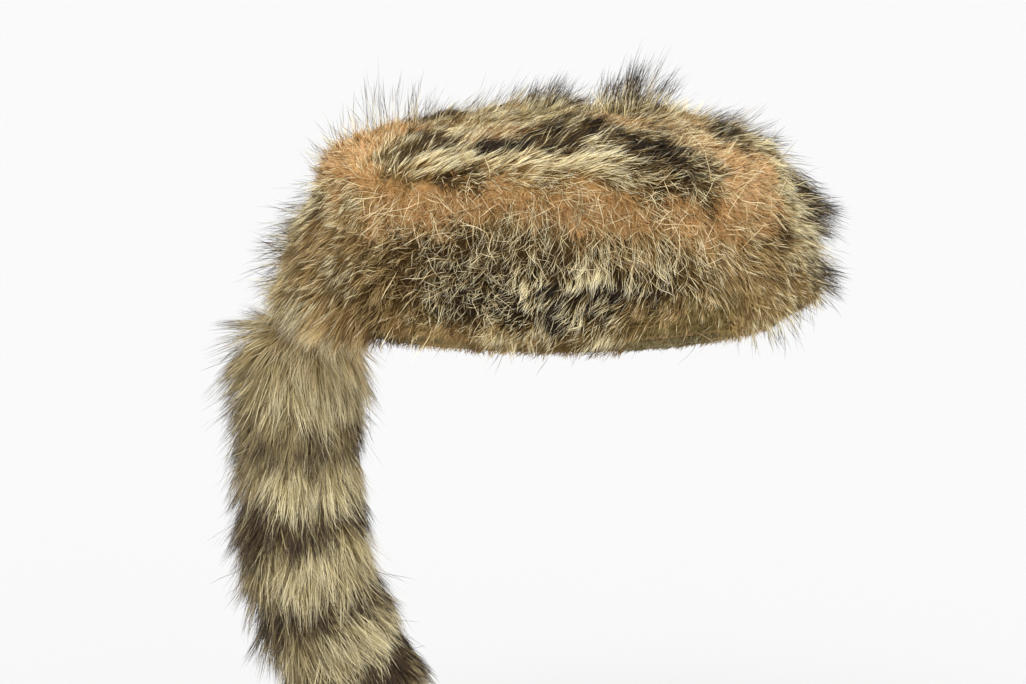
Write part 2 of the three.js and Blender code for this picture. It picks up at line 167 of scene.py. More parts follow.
def add(tree, kind, links=None, stops=(), **settings):
    """Adds a node. A setting is one of the node's own, or an input's value by its name or number; links
    maps an input to the output that feeds it, and stops are the places and colours of a ramp."""
    made = tree.nodes.new(kind)
    for key, value in settings.items():
        if hasattr(made, key):
            setattr(made, key, value)
            continue
        numbered = key[0] == "i" and key[1:].isdigit()
        made.inputs[int(key[1:]) if numbered else key.replace("_", " ")].default_value = value
    for key, output in (links or {}).items():
        tree.links.new(output, made.inputs[key])
    if stops:
        made.color_ramp.interpolation = "EASE"
        while len(made.color_ramp.elements) < len(stops):
            made.color_ramp.elements.new(0.5)
        for element, (place, colour) in zip(made.color_ramp.elements, stops):
            element.position, element.color = place, linear(colour)
    return made


def new_material(name):
    material = bpy.data.materials.new(name)
    material.use_nodes = True
    tree = material.node_tree
    shader = tree.nodes["Principled BSDF"]
    return material, tree, shader


paper, tree, shader = new_material("seamless_paper")
shader.inputs["Base Color"].default_value = linear("#d8d8d8")
shader.inputs["Roughness"].default_value = 0.9
studio_floor.data.materials.append(paper)
print("materials so far:", [m.name for m in bpy.data.materials])

# %% [markdown]
# Inside, the cap shows the flesh side of the pelt: oil-tanned skin, matt and slightly napped like suede,
# cream to tan, blotched where the tanner's oil soaked in, with fine creases from breaking the skin over
# a beam. Noise at three real sizes gives that: 30 mm blotches, 4 mm creases and the nap. Real nap is a
# few hundredths of a millimetre, too fine to show, so it is drawn at 0.8 mm.

# %% Tanned pelt, flesh side
BLOTCH = 30 * MM
CREASE = 4 * MM
NAP = 0.8 * MM
RELIEF = 0.3 * MM  # how deep creases and nap look


def tanned_pelt(name, pale, deep, nap):
    """Suede from pale to deep, whose nap varies in brightness by the share nap."""
    material, tree, shader = new_material(name)
    place = add(tree, "ShaderNodeTexCoord").outputs["Object"]
    blotches = add(tree, "ShaderNodeTexNoise", {"Vector": place}, Scale=1 / BLOTCH, Detail=4, Roughness=0.6)
    creases = add(
        tree, "ShaderNodeTexVoronoi", {"Vector": place}, feature="DISTANCE_TO_EDGE", Scale=1 / CREASE
    )
    fibres = add(tree, "ShaderNodeTexNoise", {"Vector": place}, Scale=1 / NAP, Detail=3, Roughness=0.7)
    soaked = add(
        tree, "ShaderNodeValToRGB", {0: blotches.outputs["Fac"]}, stops=((0.3, deep), (0.7, pale))
    )
    napped = add(
        tree,
        "ShaderNodeMapRange",
        {"Value": fibres.outputs["Fac"]},
        From_Min=0.2,
        From_Max=0.8,
        To_Min=1 - nap,
        To_Max=1 + nap,
    )
    colour = add(
        tree,
        "ShaderNodeMix",
        {6: soaked.outputs["Color"], 7: napped.outputs["Result"]},
        data_type="RGBA",
        blend_type="MULTIPLY",
        i0=1.0,
    )
    creased = add(tree, "ShaderNodeMapRange", {"Value": creases.outputs["Distance"]}, From_Max=0.12)
    low = add(tree, "ShaderNodeBump", {"Height": creased.outputs["Result"]}, Strength=0.25, Distance=RELIEF)
    fine = add(
        tree,
        "ShaderNodeBump",
        {"Height": fibres.outputs["Fac"], "Normal": low.outputs["Normal"]},
        Strength=0.5,
        Distance=RELIEF,
    )
    tree.links.new(colour.outputs[2], shader.inputs["Base Color"])
    tree.links.new(fine.outputs["Normal"], shader.inputs["Normal"])
    shader.inputs["Roughness"].default_value = 0.85
    shader.inputs["Sheen Weight"].default_value = 0.25
    shader.inputs["Sheen Roughness"].default_value = 0.5
    return material


suede = tanned_pelt("oil_tanned_suede", "#cda878", "#a97f4f", 0.1)
hem_suede = tanned_pelt("clipped_pelt_edge", "#8f8258", "#6f6342", 0.22)
SKINS = {"side_band": suede, "crown_top": suede, "tail_tab": suede, "rim_hem": hem_suede}
for node_name, material in SKINS.items():
    for material_slot in bpy.data.objects[node_name].material_slots:
        material_slot.material = material
    print(node_name, "wears", material.name)

# %% [markdown]
# The underfur is a dense fleece. Its mass is a body with a soft surface, and the CAD fur with its locks
# already has the right form, so each body starts as a copy of its solid. A voxel remesh melts the locks'
# sharp blades into one skin, smoothing makes it as soft as fleece is, and a second remesh drops the thin
# spikes that the smoothing leaves of the tips. The body then sinks by a few millimetres, because the pile
# that grows on it brings the outline back to the solid's own. It stays above the skin under it.

# %% Fleece bodies grown from the CAD fur
ABOVE_SKIN = 1.2 * MM
VOXEL = 2.5 * MM
COARSER = 1.7  # how much larger the second remesh's voxels are
SOFTENING = 24  # rounds of smoothing
DEPTH = 4.5 * MM


def numbers(items, name, width, kind=np.float32):
    found = np.empty(len(items) * width, kind)
    items.foreach_get(name, found)
    return found.reshape(-1, width) if width > 1 else found


def search_tree(mesh):
    places = numbers(mesh.vertices, "co", 3)
    return BVHTree.FromPolygons([Vector(p) for p in places.tolist()], [p.vertices[:] for p in mesh.polygons])


def joined(*node_names):
    """One mesh with the shapes of several CAD nodes."""
    shapes = bmesh.new()
    for node_name in node_names:
        shapes.from_mesh(bpy.data.objects[node_name].data)
    made = bpy.data.meshes.new("joined")
    shapes.to_mesh(made)
    shapes.free()
    return made


def fleece_body(name, node_names, skin_names):
    """The nodes' shapes melted into one soft skin that lies up to DEPTH under their surface."""
    copy = bpy.data.objects.new("melting", joined(*node_names))
    bpy.context.collection.objects.link(copy)
    for size, softening in ((VOXEL, SOFTENING), (VOXEL * COARSER, SOFTENING // 3)):
        melt = copy.modifiers.new("melt", "REMESH")
        melt.mode, melt.voxel_size = "VOXEL", size
        soften = copy.modifiers.new("soften", "SMOOTH")
        soften.factor, soften.iterations = 0.5, softening
    melted = copy.evaluated_get(bpy.context.evaluated_depsgraph_get())
    made = bpy.data.meshes.new_from_object(melted)
    bpy.data.objects.remove(copy)
    made.materials.clear()
    made.name = name
    made.polygons.foreach_set("use_smooth", np.ones(len(made.polygons), bool))
    at, out = numbers(made.vertices, "co", 3), numbers(made.vertex_normals, "vector", 3)
    below = search_tree(joined(*skin_names))
    room = np.array([below.find_nearest(place)[3] for place in at.tolist()]) - ABOVE_SKIN
    # The faces that look down stay where they are, so that the lower edge still hides the hem's seam.
    sunk = room.clip(0, DEPTH) * (1 + out[:, 2].clip(-1, 0))
    made.vertices.foreach_set("co", (at - out * sunk[:, None]).ravel())
    made.update()
    return made


cap_fleece = fleece_body("cap_fleece", ("side_fur", "top_fur"), ("side_band", "crown_top"))
tail_fleece = fleece_body("tail_fleece", ("tail",), ("tail_tab",))
for mesh in (cap_fleece, tail_fleece):
    print(mesh.name, "faces:", len(mesh.polygons))

# %% [markdown]
# Each kind of hair is a coat: its colours from root to tip. On a raccoon most guard hairs are banded, and
# where the fur looks dark the bands are missing or the dark tips lie on top. All the hairs of a material
# share one map, cut into a grid of squares: a hair's square says which coat it belongs to, its height in
# the square is how far along the hair a point lies, and its place across says how light that hair is.

# %% The coats
GUARD_COATS = {
    "banded": (
        (0, "#5e431f"), (0.35, "#86683a"), (0.6, "#eadcae"),
        (0.78, "#dccb98"), (0.9, "#4a3a28"), (1, "#2a231d"),
    ),
    "black_tip": (
        (0, "#6d4f29"), (0.3, "#c7ae75"), (0.5, "#f0e3bb"),
        (0.62, "#86704a"), (0.75, "#3a2f25"), (1, "#241e1a"),
    ),
    "cream": ((0, "#6a4d24"), (0.3, "#af9259"), (0.58, "#f3e4b3"), (1, "#fff7d6")),
    "pale": ((0, "#4f391b"), (0.35, "#8c7142"), (0.65, "#e6d6a8"), (1, "#fff5d8")),
    "gold": ((0, "#503a1c"), (0.4, "#8b6d42"), (0.8, "#cdb07a"), (1, "#efdcae")),
    "brown": ((0, "#3d2b0f"), (0.4, "#554020"), (0.8, "#735c36"), (1, "#64502e")),
    "dark": ((0, "#33250f"), (0.4, "#33271a"), (0.8, "#29221b"), (1, "#211d1a")),
    "olive": ((0, "#5a4a24"), (0.5, "#8a7946"), (1, "#a6965e")),
    "straw": ((0, "#a9824c"), (0.3, "#dcc28c"), (0.7, "#f6e4b6"), (1, "#fff3d2")),
}
WOOL_COATS = {
    "tan": ((0, "#a87640"), (0.6, "#cea067"), (1, "#e4c08a")),
    "peach": ((0, "#bb8b57"), (0.6, "#e2b982"), (1, "#f0d3a4")),
    "khaki": ((0, "#5a4220"), (0.6, "#8b6d40"), (1, "#a98c58")),
    "umber": ((0, "#281c0c"), (0.6, "#46331a"), (1, "#5a4526")),
    "grey": ((0, "#1f170c"), (0.6, "#2c2215"), (1, "#3b2f1d")),
    "moss": ((0, "#514223"), (0.6, "#857145"), (1, "#9e8b5c")),
    "sand": ((0, "#8b6e3e"), (0.6, "#bd9e66"), (1, "#d8c08c")),
}
TAIL_COATS = {
    "buff": ((0, "#8e784c"), (0.3, "#c9b57f"), (0.65, "#efe1b3"), (1, "#f9eec8")),
    "sooty": ((0, "#57452c"), (0.4, "#5a4832"), (0.8, "#40342a"), (1, "#2e2721")),
    "smoked": ((0, "#85704a"), (0.4, "#c1af7e"), (0.62, "#b09d72"), (0.8, "#5a4a3a"), (1, "#332a24")),
    "rust": ((0, "#997a50"), (0.5, "#cdae7a"), (1, "#e6cfa1")),
}
GRID = 4  # squares along each side of the map
KERATIN_IOR = 1.55
DARKEST_HAIR, LIGHTEST_HAIR = 0.53, 1.47  # times the coat's own colour


def hair_material(name, coats, roughness, specular):
    """Hair is keratin, smooth and a little glossy. Its colours come from the coats' map."""
    material, tree, shader = new_material(name)
    where = add(tree, "ShaderNodeUVMap", uv_map="OFBake")
    wide = add(tree, "ShaderNodeVectorMath", {0: where.outputs["UV"]}, operation="SCALE", Scale=float(GRID))
    square = add(tree, "ShaderNodeVectorMath", {0: wide.outputs["Vector"]}, operation="FLOOR")
    inside = add(tree, "ShaderNodeVectorMath", {0: wide.outputs["Vector"]}, operation="FRACTION")
    cell = add(tree, "ShaderNodeSeparateXYZ", {0: square.outputs["Vector"]})
    part = add(tree, "ShaderNodeSeparateXYZ", {0: inside.outputs["Vector"]})
    number = add(
        tree,
        "ShaderNodeMath",
        {0: cell.outputs["Y"], 2: cell.outputs["X"]},
        operation="MULTIPLY_ADD",
        i1=float(GRID),
    )
    colour = None
    for k, stops in enumerate(coats.values()):
        along = add(tree, "ShaderNodeValToRGB", {0: part.outputs["Y"]}, stops=stops)
        if colour is None:
            colour = along.outputs["Color"]
            continue
        chosen = add(tree, "ShaderNodeMath", {0: number.outputs[0]}, operation="COMPARE", i1=float(k), i2=0.5)
        mixed = add(
            tree,
            "ShaderNodeMix",
            {0: chosen.outputs[0], 6: colour, 7: along.outputs["Color"]},
            data_type="RGBA",
        )
        colour = mixed.outputs[2]
    light = add(
        tree, "ShaderNodeMapRange", {"Value": part.outputs["X"]}, To_Min=DARKEST_HAIR, To_Max=LIGHTEST_HAIR
    )
    toned = add(
        tree,
        "ShaderNodeMix",
        {6: colour, 7: light.outputs["Result"]},
        data_type="RGBA",
        blend_type="MULTIPLY",
        i0=1.0,
    )
    tree.links.new(toned.outputs[2], shader.inputs["Base Color"])
    shader.inputs["Roughness"].default_value = roughness
    shader.inputs["IOR"].default_value = KERATIN_IOR
    shader.inputs["Specular IOR Level"].default_value = specular
    return material


guard_hair = hair_material("raccoon_guard_hair", GUARD_COATS, 0.45, 0.1)
wool = hair_material("raccoon_underfur_wool", WOOL_COATS, 0.8, 0.05)
tail_hair = hair_material("raccoon_tail_hair", TAIL_COATS, 0.5, 0.15)
print("coats:", list(GUARD_COATS), list(WOOL_COATS), list(TAIL_COATS))

# %% [markdown]
# A pelt is no even carpet. Along the back of the animal the hair is dark, on its flanks it is grizzled,
# and where the furrier parted it along the seams the tan underfur lies open. A groomer would comb a model
# by hand; here the comb is a chart. Each row is one place on the cap, read off the photograph at a pixel:
# which way the hair lies there, how far it stands off, how long it is, which coats grow there and what
# share of the guard hairs is left, over which wool. Heading is the way on the picture, 0 to the right
# and 90 up. The place then lands on the fleece, straight behind its pixel.

# %% The grooming chart
# Three rows paint shade into the fur. At 440 176 and 470 174, brown and dark hair over umber wool is painted
# shade under the top's overhang. At 785 235, brown hair over umber wool is painted shade in the parting
# between two tufts.
CHART = """
across down heading lift length curl coat other share guard wool
292 205 195 25 13 0.3 banded cream 0.4 1.0 khaki
284 240 205 25 14 0.3 banded gold 0.5 1.0 khaki
281 272 215 28 17 0.3 gold banded 0.5 1.0 khaki
286 296 232 38 26 0.2 banded gold 0.4 1.0 khaki
315 205 205 16 11 0.3 cream brown 0.5 1.0 khaki
310 240 215 15 11 0.3 gold brown 0.35 1.0 khaki
308 275 225 15 12 0.3 gold brown 0.3 1.0 khaki
320 302 245 22 24 0.2 gold cream 0.3 1.0 khaki
345 240 220 14 10 0.4 gold brown 0.4 1.0 khaki
340 270 228 14 10 0.5 pale brown 0.5 1.0 khaki
368 262 232 14 9 0.7 gold brown 0.5 0.8 umber
368 290 238 14 10 0.5 brown gold 0.5 0.9 umber
345 318 252 16 20 0.2 gold brown 0.3 0.9 khaki
372 312 245 12 9 0.4 brown gold 0.5 0.8 umber
335 185 195 14 9 0.4 gold cream 0.5 0.6 tan
348 208 215 14 9 0.4 gold cream 0.4 0.7 khaki
318 160 150 46 11 0.3 gold cream 0.4 0.15 peach
332 142 130 52 12 0.3 gold cream 0.4 0.10 peach
352 126 115 46 11 0.3 gold cream 0.4 0.10 peach
378 118 95 34 8 0.3 gold cream 0.4 0.10 peach
402 118 75 25 7 0.3 gold cream 0.4 0.15 peach
345 155 150 15 6 0.3 gold cream 0.4 0.12 peach
370 140 110 15 6 0.3 gold cream 0.4 0.12 peach
395 130 80 18 7 0.3 gold cream 0.4 0.20 peach
340 172 185 12 7 0.3 gold cream 0.4 0.30 tan
362 170 120 12 8 0.4 gold cream 0.5 0.40 tan
382 166 50 14 10 0.3 cream brown 0.5 0.9 moss
392 150 55 16 11 0.3 brown cream 0.5 1.0 moss
413 145 25 10 9 0.2 dark brown 0.5 1.0 umber
427 141 25 10 9 0.2 dark brown 0.5 1.0 umber
428 130 45 10 10 0.2 brown dark 0.4 1.0 moss
440 122 35 5 6 0.2 cream gold 0.4 0.9 khaki
462 126 28 8 9 0.2 cream banded 0.3 1.0 khaki
485 128 25 12 11 0.3 gold cream 0.4 0.5 peach
480 112 35 6 8 0.2 cream black_tip 0.3 1.0 khaki
507 128 20 10 10 0.3 gold cream 0.5 0.3 peach
500 107 35 8 9 0.2 cream black_tip 0.4 1.0 khaki
520 98 40 20 14 0.2 black_tip banded 0.5 1.0 khaki
545 92 45 24 15 0.2 black_tip dark 0.4 1.0 khaki
566 106 35 4 7 0.2 black_tip banded 0.4 1.0 khaki
530 116 25 12 12 0.2 cream banded 0.4 1.0 khaki
497 148 17 8 11 0.2 dark brown 0.3 1.0 grey
513 147 17 7 14 0.2 dark brown 0.1 1.0 grey
528 143 17 7 12 0.2 dark brown 0.2 1.0 grey
560 133 17 7 12 0.2 dark brown 0.4 1.0 umber
576 128 18 7 12 0.2 dark brown 0.4 1.0 umber
592 123 18 8 13 0.2 dark brown 0.3 1.0 umber
544 138 17 7 12 0.2 dark brown 0.4 1.0 grey
505 142 17 7 13 0.2 dark brown 0.1 1.0 grey
525 136 20 7 12 0.2 dark brown 0.3 1.0 grey
505 160 12 10 12 0.2 cream gold 0.2 1.0 khaki
535 158 10 10 12 0.2 cream gold 0.2 1.0 khaki
568 122 20 7 12 0.2 brown cream 0.4 1.0 umber
735 150 25 12 8 0.4 gold cream 0.4 0.15 peach
733 180 350 12 8 0.5 gold cream 0.4 0.25 peach
650 118 20 6 9 0.3 gold cream 0.4 0.30 peach
690 135 15 6 9 0.3 gold cream 0.4 0.30 peach
410 172 20 12 12 0.2 cream gold 0.15 1.0 khaki
435 165 20 12 13 0.2 cream gold 0.15 1.0 khaki
460 157 20 12 13 0.2 cream pale 0.2 1.0 khaki
482 163 15 10 13 0.2 cream brown 0.15 1.0 khaki
510 167 12 10 12 0.2 cream gold 0.2 1.0 khaki
440 176 5 8 9 0.3 brown dark 0.4 0.8 umber
470 174 0 8 9 0.3 brown cream 0.5 0.8 umber
365 192 220 12 9 0.8 pale gold 0.4 0.24 tan
395 190 235 12 9 0.8 pale gold 0.4 0.15 tan
425 190 250 12 9 0.8 pale gold 0.4 0.15 tan
455 192 255 12 9 0.8 pale gold 0.4 0.15 tan
485 194 262 12 10 0.8 pale gold 0.4 0.18 tan
375 218 230 12 9 0.8 pale gold 0.4 0.26 tan
410 215 245 12 9 0.8 pale gold 0.4 0.14 tan
445 215 255 12 9 0.8 pale gold 0.4 0.14 tan
480 213 262 12 10 0.8 pale gold 0.4 0.18 tan
510 195 268 12 11 0.7 pale gold 0.4 0.30 tan
505 222 280 12 11 0.7 pale brown 0.4 0.35 khaki
530 205 275 14 13 0.6 pale gold 0.4 0.35 tan
555 192 275 12 12 0.7 pale gold 0.3 0.25 tan
580 202 278 12 13 0.8 pale gold 0.3 0.15 tan
610 200 280 12 13 0.8 pale gold 0.3 0.15 tan
640 207 282 12 12 0.8 pale gold 0.4 0.16 tan
575 228 275 12 13 0.5 pale gold 0.4 0.25 tan
605 225 278 12 13 0.6 pale gold 0.4 0.15 tan
640 228 280 12 13 0.5 pale gold 0.4 0.20 tan
675 207 285 10 10 0.6 gold pale 0.4 0.15 tan
700 215 290 10 10 0.6 gold pale 0.4 0.12 tan
725 207 300 10 9 0.5 gold cream 0.4 0.12 tan
675 230 283 12 12 0.5 gold pale 0.4 0.25 tan
710 238 290 12 11 0.5 gold pale 0.4 0.25 tan
745 222 305 12 10 0.5 gold cream 0.4 0.20 tan
755 240 320 14 11 0.4 gold cream 0.5 0.5 khaki
385 240 235 14 9 0.8 gold banded 0.4 0.7 umber
415 240 245 14 9 0.9 pale brown 0.4 0.4 umber
450 240 255 12 10 0.8 pale brown 0.4 0.4 umber
485 240 265 12 11 0.8 pale brown 0.4 0.4 umber
520 240 270 12 12 0.7 pale brown 0.4 0.4 umber
555 245 272 14 11 0.6 pale brown 0.5 0.35 umber
400 268 240 16 9 1.0 gold brown 0.5 0.5 umber
435 268 250 18 9 1.0 pale brown 0.4 0.45 grey
470 268 255 18 9 1.0 pale brown 0.4 0.45 grey
505 268 260 18 9 1.0 pale brown 0.4 0.4 grey
540 270 265 18 9 0.8 pale brown 0.4 0.4 grey
405 295 238 18 8 1.0 gold brown 0.5 0.5 umber
440 297 245 18 8 1.0 pale brown 0.4 0.5 grey
475 297 250 18 8 1.0 pale dark 0.35 0.5 grey
510 295 252 18 8 0.9 pale dark 0.4 0.45 grey
528 290 255 25 9 0.3 cream pale 0.4 1.0 umber
430 315 240 15 8 0.9 cream brown 0.5 0.6 umber
475 318 240 15 8 0.8 cream dark 0.5 0.5 umber
515 318 240 15 9 0.6 cream dark 0.5 0.5 grey
395 326 240 10 7 0.5 gold brown 0.4 0.5 khaki
430 334 240 10 6 0.5 gold brown 0.25 0.4 sand
465 338 240 10 7 0.5 gold brown 0.4 0.4 khaki
500 340 240 10 8 0.4 gold cream 0.5 0.7 sand
540 343 242 14 8 0.3 cream gold 0.5 0.6 khaki
580 346 242 14 9 0.3 cream brown 0.5 0.7 khaki
610 342 242 18 10 0.2 cream gold 0.3 1.0 khaki
630 346 235 6 5 0.2 gold brown 0.5 0.3 moss
575 262 262 16 12 0.4 pale brown 0.4 0.5 umber
590 280 262 22 11 0.2 cream pale 0.4 1.0 grey
605 250 268 14 13 0.4 pale gold 0.4 0.4 umber
640 250 272 14 14 0.3 pale gold 0.4 0.35 khaki
670 256 278 14 14 0.3 pale gold 0.4 0.4 umber
700 260 290 14 13 0.3 pale gold 0.5 0.45 khaki
730 258 308 14 13 0.3 gold pale 0.5 0.6 sand
760 265 322 14 11 0.4 gold brown 0.4 0.8 khaki
620 275 258 14 12 0.3 pale brown 0.5 0.45 umber
655 278 262 14 12 0.3 pale brown 0.4 0.5 umber
690 282 270 14 12 0.4 pale brown 0.5 0.55 umber
555 300 225 10 12 0.2 dark pale 0.3 1.0 grey
590 300 220 10 12 0.2 dark pale 0.2 1.0 grey
625 298 215 8 12 0.2 dark pale 0.15 1.0 grey
660 297 215 8 11 0.2 dark brown 0.4 1.0 umber
560 322 232 12 11 0.3 dark cream 0.4 0.9 umber
600 322 228 10 11 0.3 brown cream 0.4 0.9 umber
640 315 220 10 11 0.3 brown gold 0.5 0.9 khaki
670 310 222 10 11 0.3 gold brown 0.5 0.9 khaki
700 303 228 10 11 0.4 gold pale 0.4 0.9 khaki
730 297 250 10 10 0.4 gold brown 0.4 0.8 khaki
640 327 228 8 8 0.3 brown gold 0.5 0.8 moss
670 321 228 5 5 0.3 olive gold 0.4 0.7 moss
700 315 232 5 5 0.3 olive gold 0.4 0.7 moss
728 308 245 5 5 0.3 olive gold 0.4 0.6 moss
655 342 232 5 3 0.2 olive gold 0.2 0.4 moss
685 337 235 5 3 0.2 olive gold 0.2 0.4 moss
715 329 240 5 3 0.2 olive gold 0.2 0.4 moss
740 320 250 6 5 0.2 gold olive 0.4 0.5 sand
760 300 290 12 8 0.4 gold brown 0.35 0.6 sand
772 316 290 15 8 0.3 gold cream 0.3 0.5 sand
790 302 310 8 6 0.3 gold cream 0.4 0.6 sand
780 278 325 14 10 0.3 brown gold 0.5 0.7 khaki
802 290 325 5 6 0.3 gold dark 0.3 0.9 khaki
812 265 345 12 10 0.2 cream black_tip 0.4 1.0 khaki
795 255 340 10 9 0.3 gold cream 0.4 0.9 khaki
820 240 350 6 8 0.2 gold cream 0.4 0.9 khaki
785 235 335 12 11 0.4 brown gold 0.4 0.8 umber
800 215 358 14 14 0.2 cream black_tip 0.4 1.0 khaki
820 205 5 20 15 0.2 black_tip dark 0.3 1.0 khaki
815 180 15 20 15 0.2 black_tip cream 0.2 1.0 khaki
790 195 0 14 13 0.2 cream black_tip 0.4 1.0 khaki
770 215 325 10 9 0.4 gold cream 0.4 0.3 tan
775 190 355 10 8 0.4 gold cream 0.4 0.15 peach
750 195 340 10 8 0.5 gold cream 0.4 0.12 peach
745 170 20 12 8 0.4 gold cream 0.4 0.12 peach
770 165 25 12 8 0.4 gold cream 0.4 0.12 peach
785 160 20 8 8 0.3 cream gold 0.4 0.5 khaki
755 150 30 14 9 0.4 gold cream 0.4 0.2 peach
795 150 20 6 8 0.2 cream dark 0.3 0.6 khaki
770 132 30 6 8 0.2 cream dark 0.4 0.8 khaki
745 122 30 8 9 0.2 dark cream 0.5 1.0 khaki
720 120 35 8 9 0.2 dark black_tip 0.4 1.0 grey
705 125 45 15 11 0.2 dark brown 0.2 1.0 grey
690 123 35 6 8 0.3 cream gold 0.4 0.5 peach
685 135 20 12 10 0.4 gold cream 0.5 0.4 peach
715 140 10 12 10 0.4 cream gold 0.4 0.5 peach
706 163 340 14 10 0.9 cream brown 0.5 0.8 umber
636 146 340 8 11 0.2 dark brown 0.05 1.0 grey
662 152 335 8 11 0.2 dark brown 0.05 1.0 grey
686 163 325 10 10 0.3 dark brown 0.1 1.0 grey
613 148 5 8 12 0.2 brown cream 0.5 1.0 umber
640 172 330 14 10 0.7 cream brown 0.5 0.7 umber
665 175 325 18 9 1.0 gold brown 0.6 0.6 umber
695 180 322 18 9 1.0 cream brown 0.7 0.6 umber
715 178 330 18 9 1.0 cream brown 0.7 0.6 umber
710 195 310 14 9 0.9 cream gold 0.5 0.6 umber
660 192 305 14 10 0.8 gold cream 0.5 0.5 umber
570 163 10 12 13 0.3 cream pale 0.3 0.9 khaki
600 163 5 12 13 0.3 cream pale 0.3 0.9 khaki
620 180 330 14 12 0.5 cream pale 0.4 0.8 khaki
585 182 300 14 12 0.6 pale cream 0.4 0.6 tan
550 178 310 14 12 0.6 pale cream 0.4 0.7 khaki
520 175 330 12 12 0.5 pale cream 0.4 0.8 sand
580 111 30 5 8 0.2 gold cream 0.4 0.8 khaki
600 112 25 6 8 0.2 gold cream 0.4 0.5 peach
622 102 55 16 12 0.2 black_tip cream 0.4 1.0 khaki
640 96 60 10 11 0.2 black_tip dark 0.5 1.0 khaki
656 108 50 8 9 0.2 black_tip dark 0.4 1.0 khaki
674 115 45 5 7 0.3 cream pale 0.3 1.0 khaki
640 123 20 5 8 0.3 gold cream 0.5 0.25 peach
665 127 15 6 9 0.3 gold cream 0.4 0.25 peach
617 120 20 6 9 0.3 gold cream 0.4 0.35 peach
"""


def columns(table):
    """A table's columns, each under its name, as lists of words."""
    names, *rows = [line.split() for line in table.strip().splitlines()]
    return {name: [row[k] for row in rows] for k, name in enumerate(names)}


chart = columns(CHART)
print("chart rows:", len(chart["across"]))

# %% [markdown]
# Behind each pixel the chart's row becomes a place and a direction in space. What the photograph shows is
# the surface of the pile, a few millimetres out from the fleece, so the rows land there. The heading lies
# in the picture's plane, so it is pressed flat on the fleece before it is used. The far side of the cap
# isn't in the photograph. A pelt cut in two halves along the spine would be alike left and right, so the
# chart is mirrored to the far side, shifted a little so that the two sides aren't copies of each other.

# %% The chart lands on the pile
PILE = 3.5 * MM

raised = numbers(cap_fleece.vertices, "co", 3) + numbers(cap_fleece.vertex_normals, "vector", 3) * PILE
pile_tree = BVHTree.FromPolygons(
    [Vector(place) for place in raised.tolist()], [face.vertices[:] for face in cap_fleece.polygons]
)
eye = camera.matrix_world.translation


def landed(across, down):
    """Where a pixel of the photograph lands on the pile, and the pile's direction outwards there."""
    way = sight_line(across, down)
    place, normal = pile_tree.ray_cast(eye, way)[:2]
    if place is None:
        place, normal = pile_tree.find_nearest(eye + way * (AIM - eye).dot(way))[:2]
    return place, normal


def heading_way(heading):
    """A heading on the picture as a direction in space, in the picture's plane."""
    turn = math.radians(heading)
    return rightwards * math.cos(turn) + upwards * math.sin(turn)


GRAZING = 0.3  # a heading flattened to less than this points at the camera and is kept as it is
places, lies = [], []
for across, down, heading in zip(chart["across"], chart["down"], chart["heading"]):
    place, normal = landed(float(across), float(down))
    lie = heading_way(float(heading))
    flat = lie - normal * lie.dot(normal)
    if flat.length < GRAZING:
        flat = lie
    places.append(place)
    lies.append(flat.normalized())
places, lies = np.array(places), np.array(lies)
FAR_SHIFT = np.array((6, 0, -3)) * MM
mirror = np.array((1, -1, 1))
spots = {
    "place": np.concatenate([places, places * mirror + FAR_SHIFT]),
    "lie": np.concatenate([lies, lies * mirror]),
}
for name in ("lift", "length", "curl", "share", "guard"):
    spots[name] = np.tile(np.array(chart[name], float), 2)
for name, coats in (("coat", GUARD_COATS), ("other", GUARD_COATS), ("wool", WOOL_COATS)):
    spots[name] = np.tile(np.array([list(coats).index(word) for word in chart[name]]), 2)
reach = (places[:, 1].min() / MM).round(), (places[:, 1].max() / MM).round()
print("spots on the pile:", len(spots["place"]), "reach in y, mm:", reach)

# %% [markdown]
# Between the spots the fur changes gradually. Each root reads the chart through weights that fall with
# distance: colours change within a few millimetres, but the way that the hair lies turns more slowly. A
# few waves at 6 to 25 mm first push the reading place about, so that the edges between two coats come out
# ragged, as they are on a pelt.

# %% Reading the chart between its spots
rng = np.random.default_rng(7)
WAVES = [(rng.normal(size=3), rng.uniform(0, 2 * math.pi), rng.normal(size=3)) for _ in range(14)]
WANDER = 4 * MM  # how far the reading places are pushed


def wandered(at):
    """The places at, each pushed by up to about WANDER by waves of 6 to 25 mm."""
    moved = np.zeros_like(at)
    for k, (way, phase, push) in enumerate(WAVES):
        wavelength = (6 + 19 * (k / len(WAVES))) * MM
        way, push = way / np.linalg.norm(way), push / np.linalg.norm(push)
        moved += np.sin(at @ way * (2 * math.pi / wavelength) + phase)[:, None] * push
    return at + moved * (WANDER / math.sqrt(len(WAVES)))


def unit(v):
    return v / np.maximum(np.linalg.norm(v, axis=-1, keepdims=True), 1e-9)


COLOUR_REACH = 3.5 * MM
COMB_REACH = 7 * MM
AT_ONCE = 4000  # places read in one go, to save memory


def weights(at, reach):
    """How much each spot counts at each place: less with distance, and 1 in all."""
    far = ((at[:, None] - spots["place"][None]) ** 2).sum(2)
    counted = np.exp(-(far - far.min(1, keepdims=True)) / (2 * reach**2))
    return counted / counted.sum(1, keepdims=True)


def read_chart(at):
    """What the chart says at each place: blended numbers and directions, and each coat's weight."""
    found = {name: [] for name in spots if name != "place"}
    for part in np.array_split(at, max(1, len(at) // AT_ONCE)):
        near = weights(part, COLOUR_REACH)
        for name in ("length", "curl", "share", "guard"):
            found[name].append(near @ spots[name])
        for name, coats in (("coat", GUARD_COATS), ("other", GUARD_COATS), ("wool", WOOL_COATS)):
            found[name].append(near @ np.eye(len(coats))[spots[name]])
        wide = weights(part, COMB_REACH)
        for name in ("lie", "lift"):
            found[name].append(wide @ spots[name])
    return {name: np.concatenate(parts) for name, parts in found.items()}


def read_above(roots, out):
    """The chart for the pile right above these roots."""
    return read_chart(wandered(roots + out * PILE))


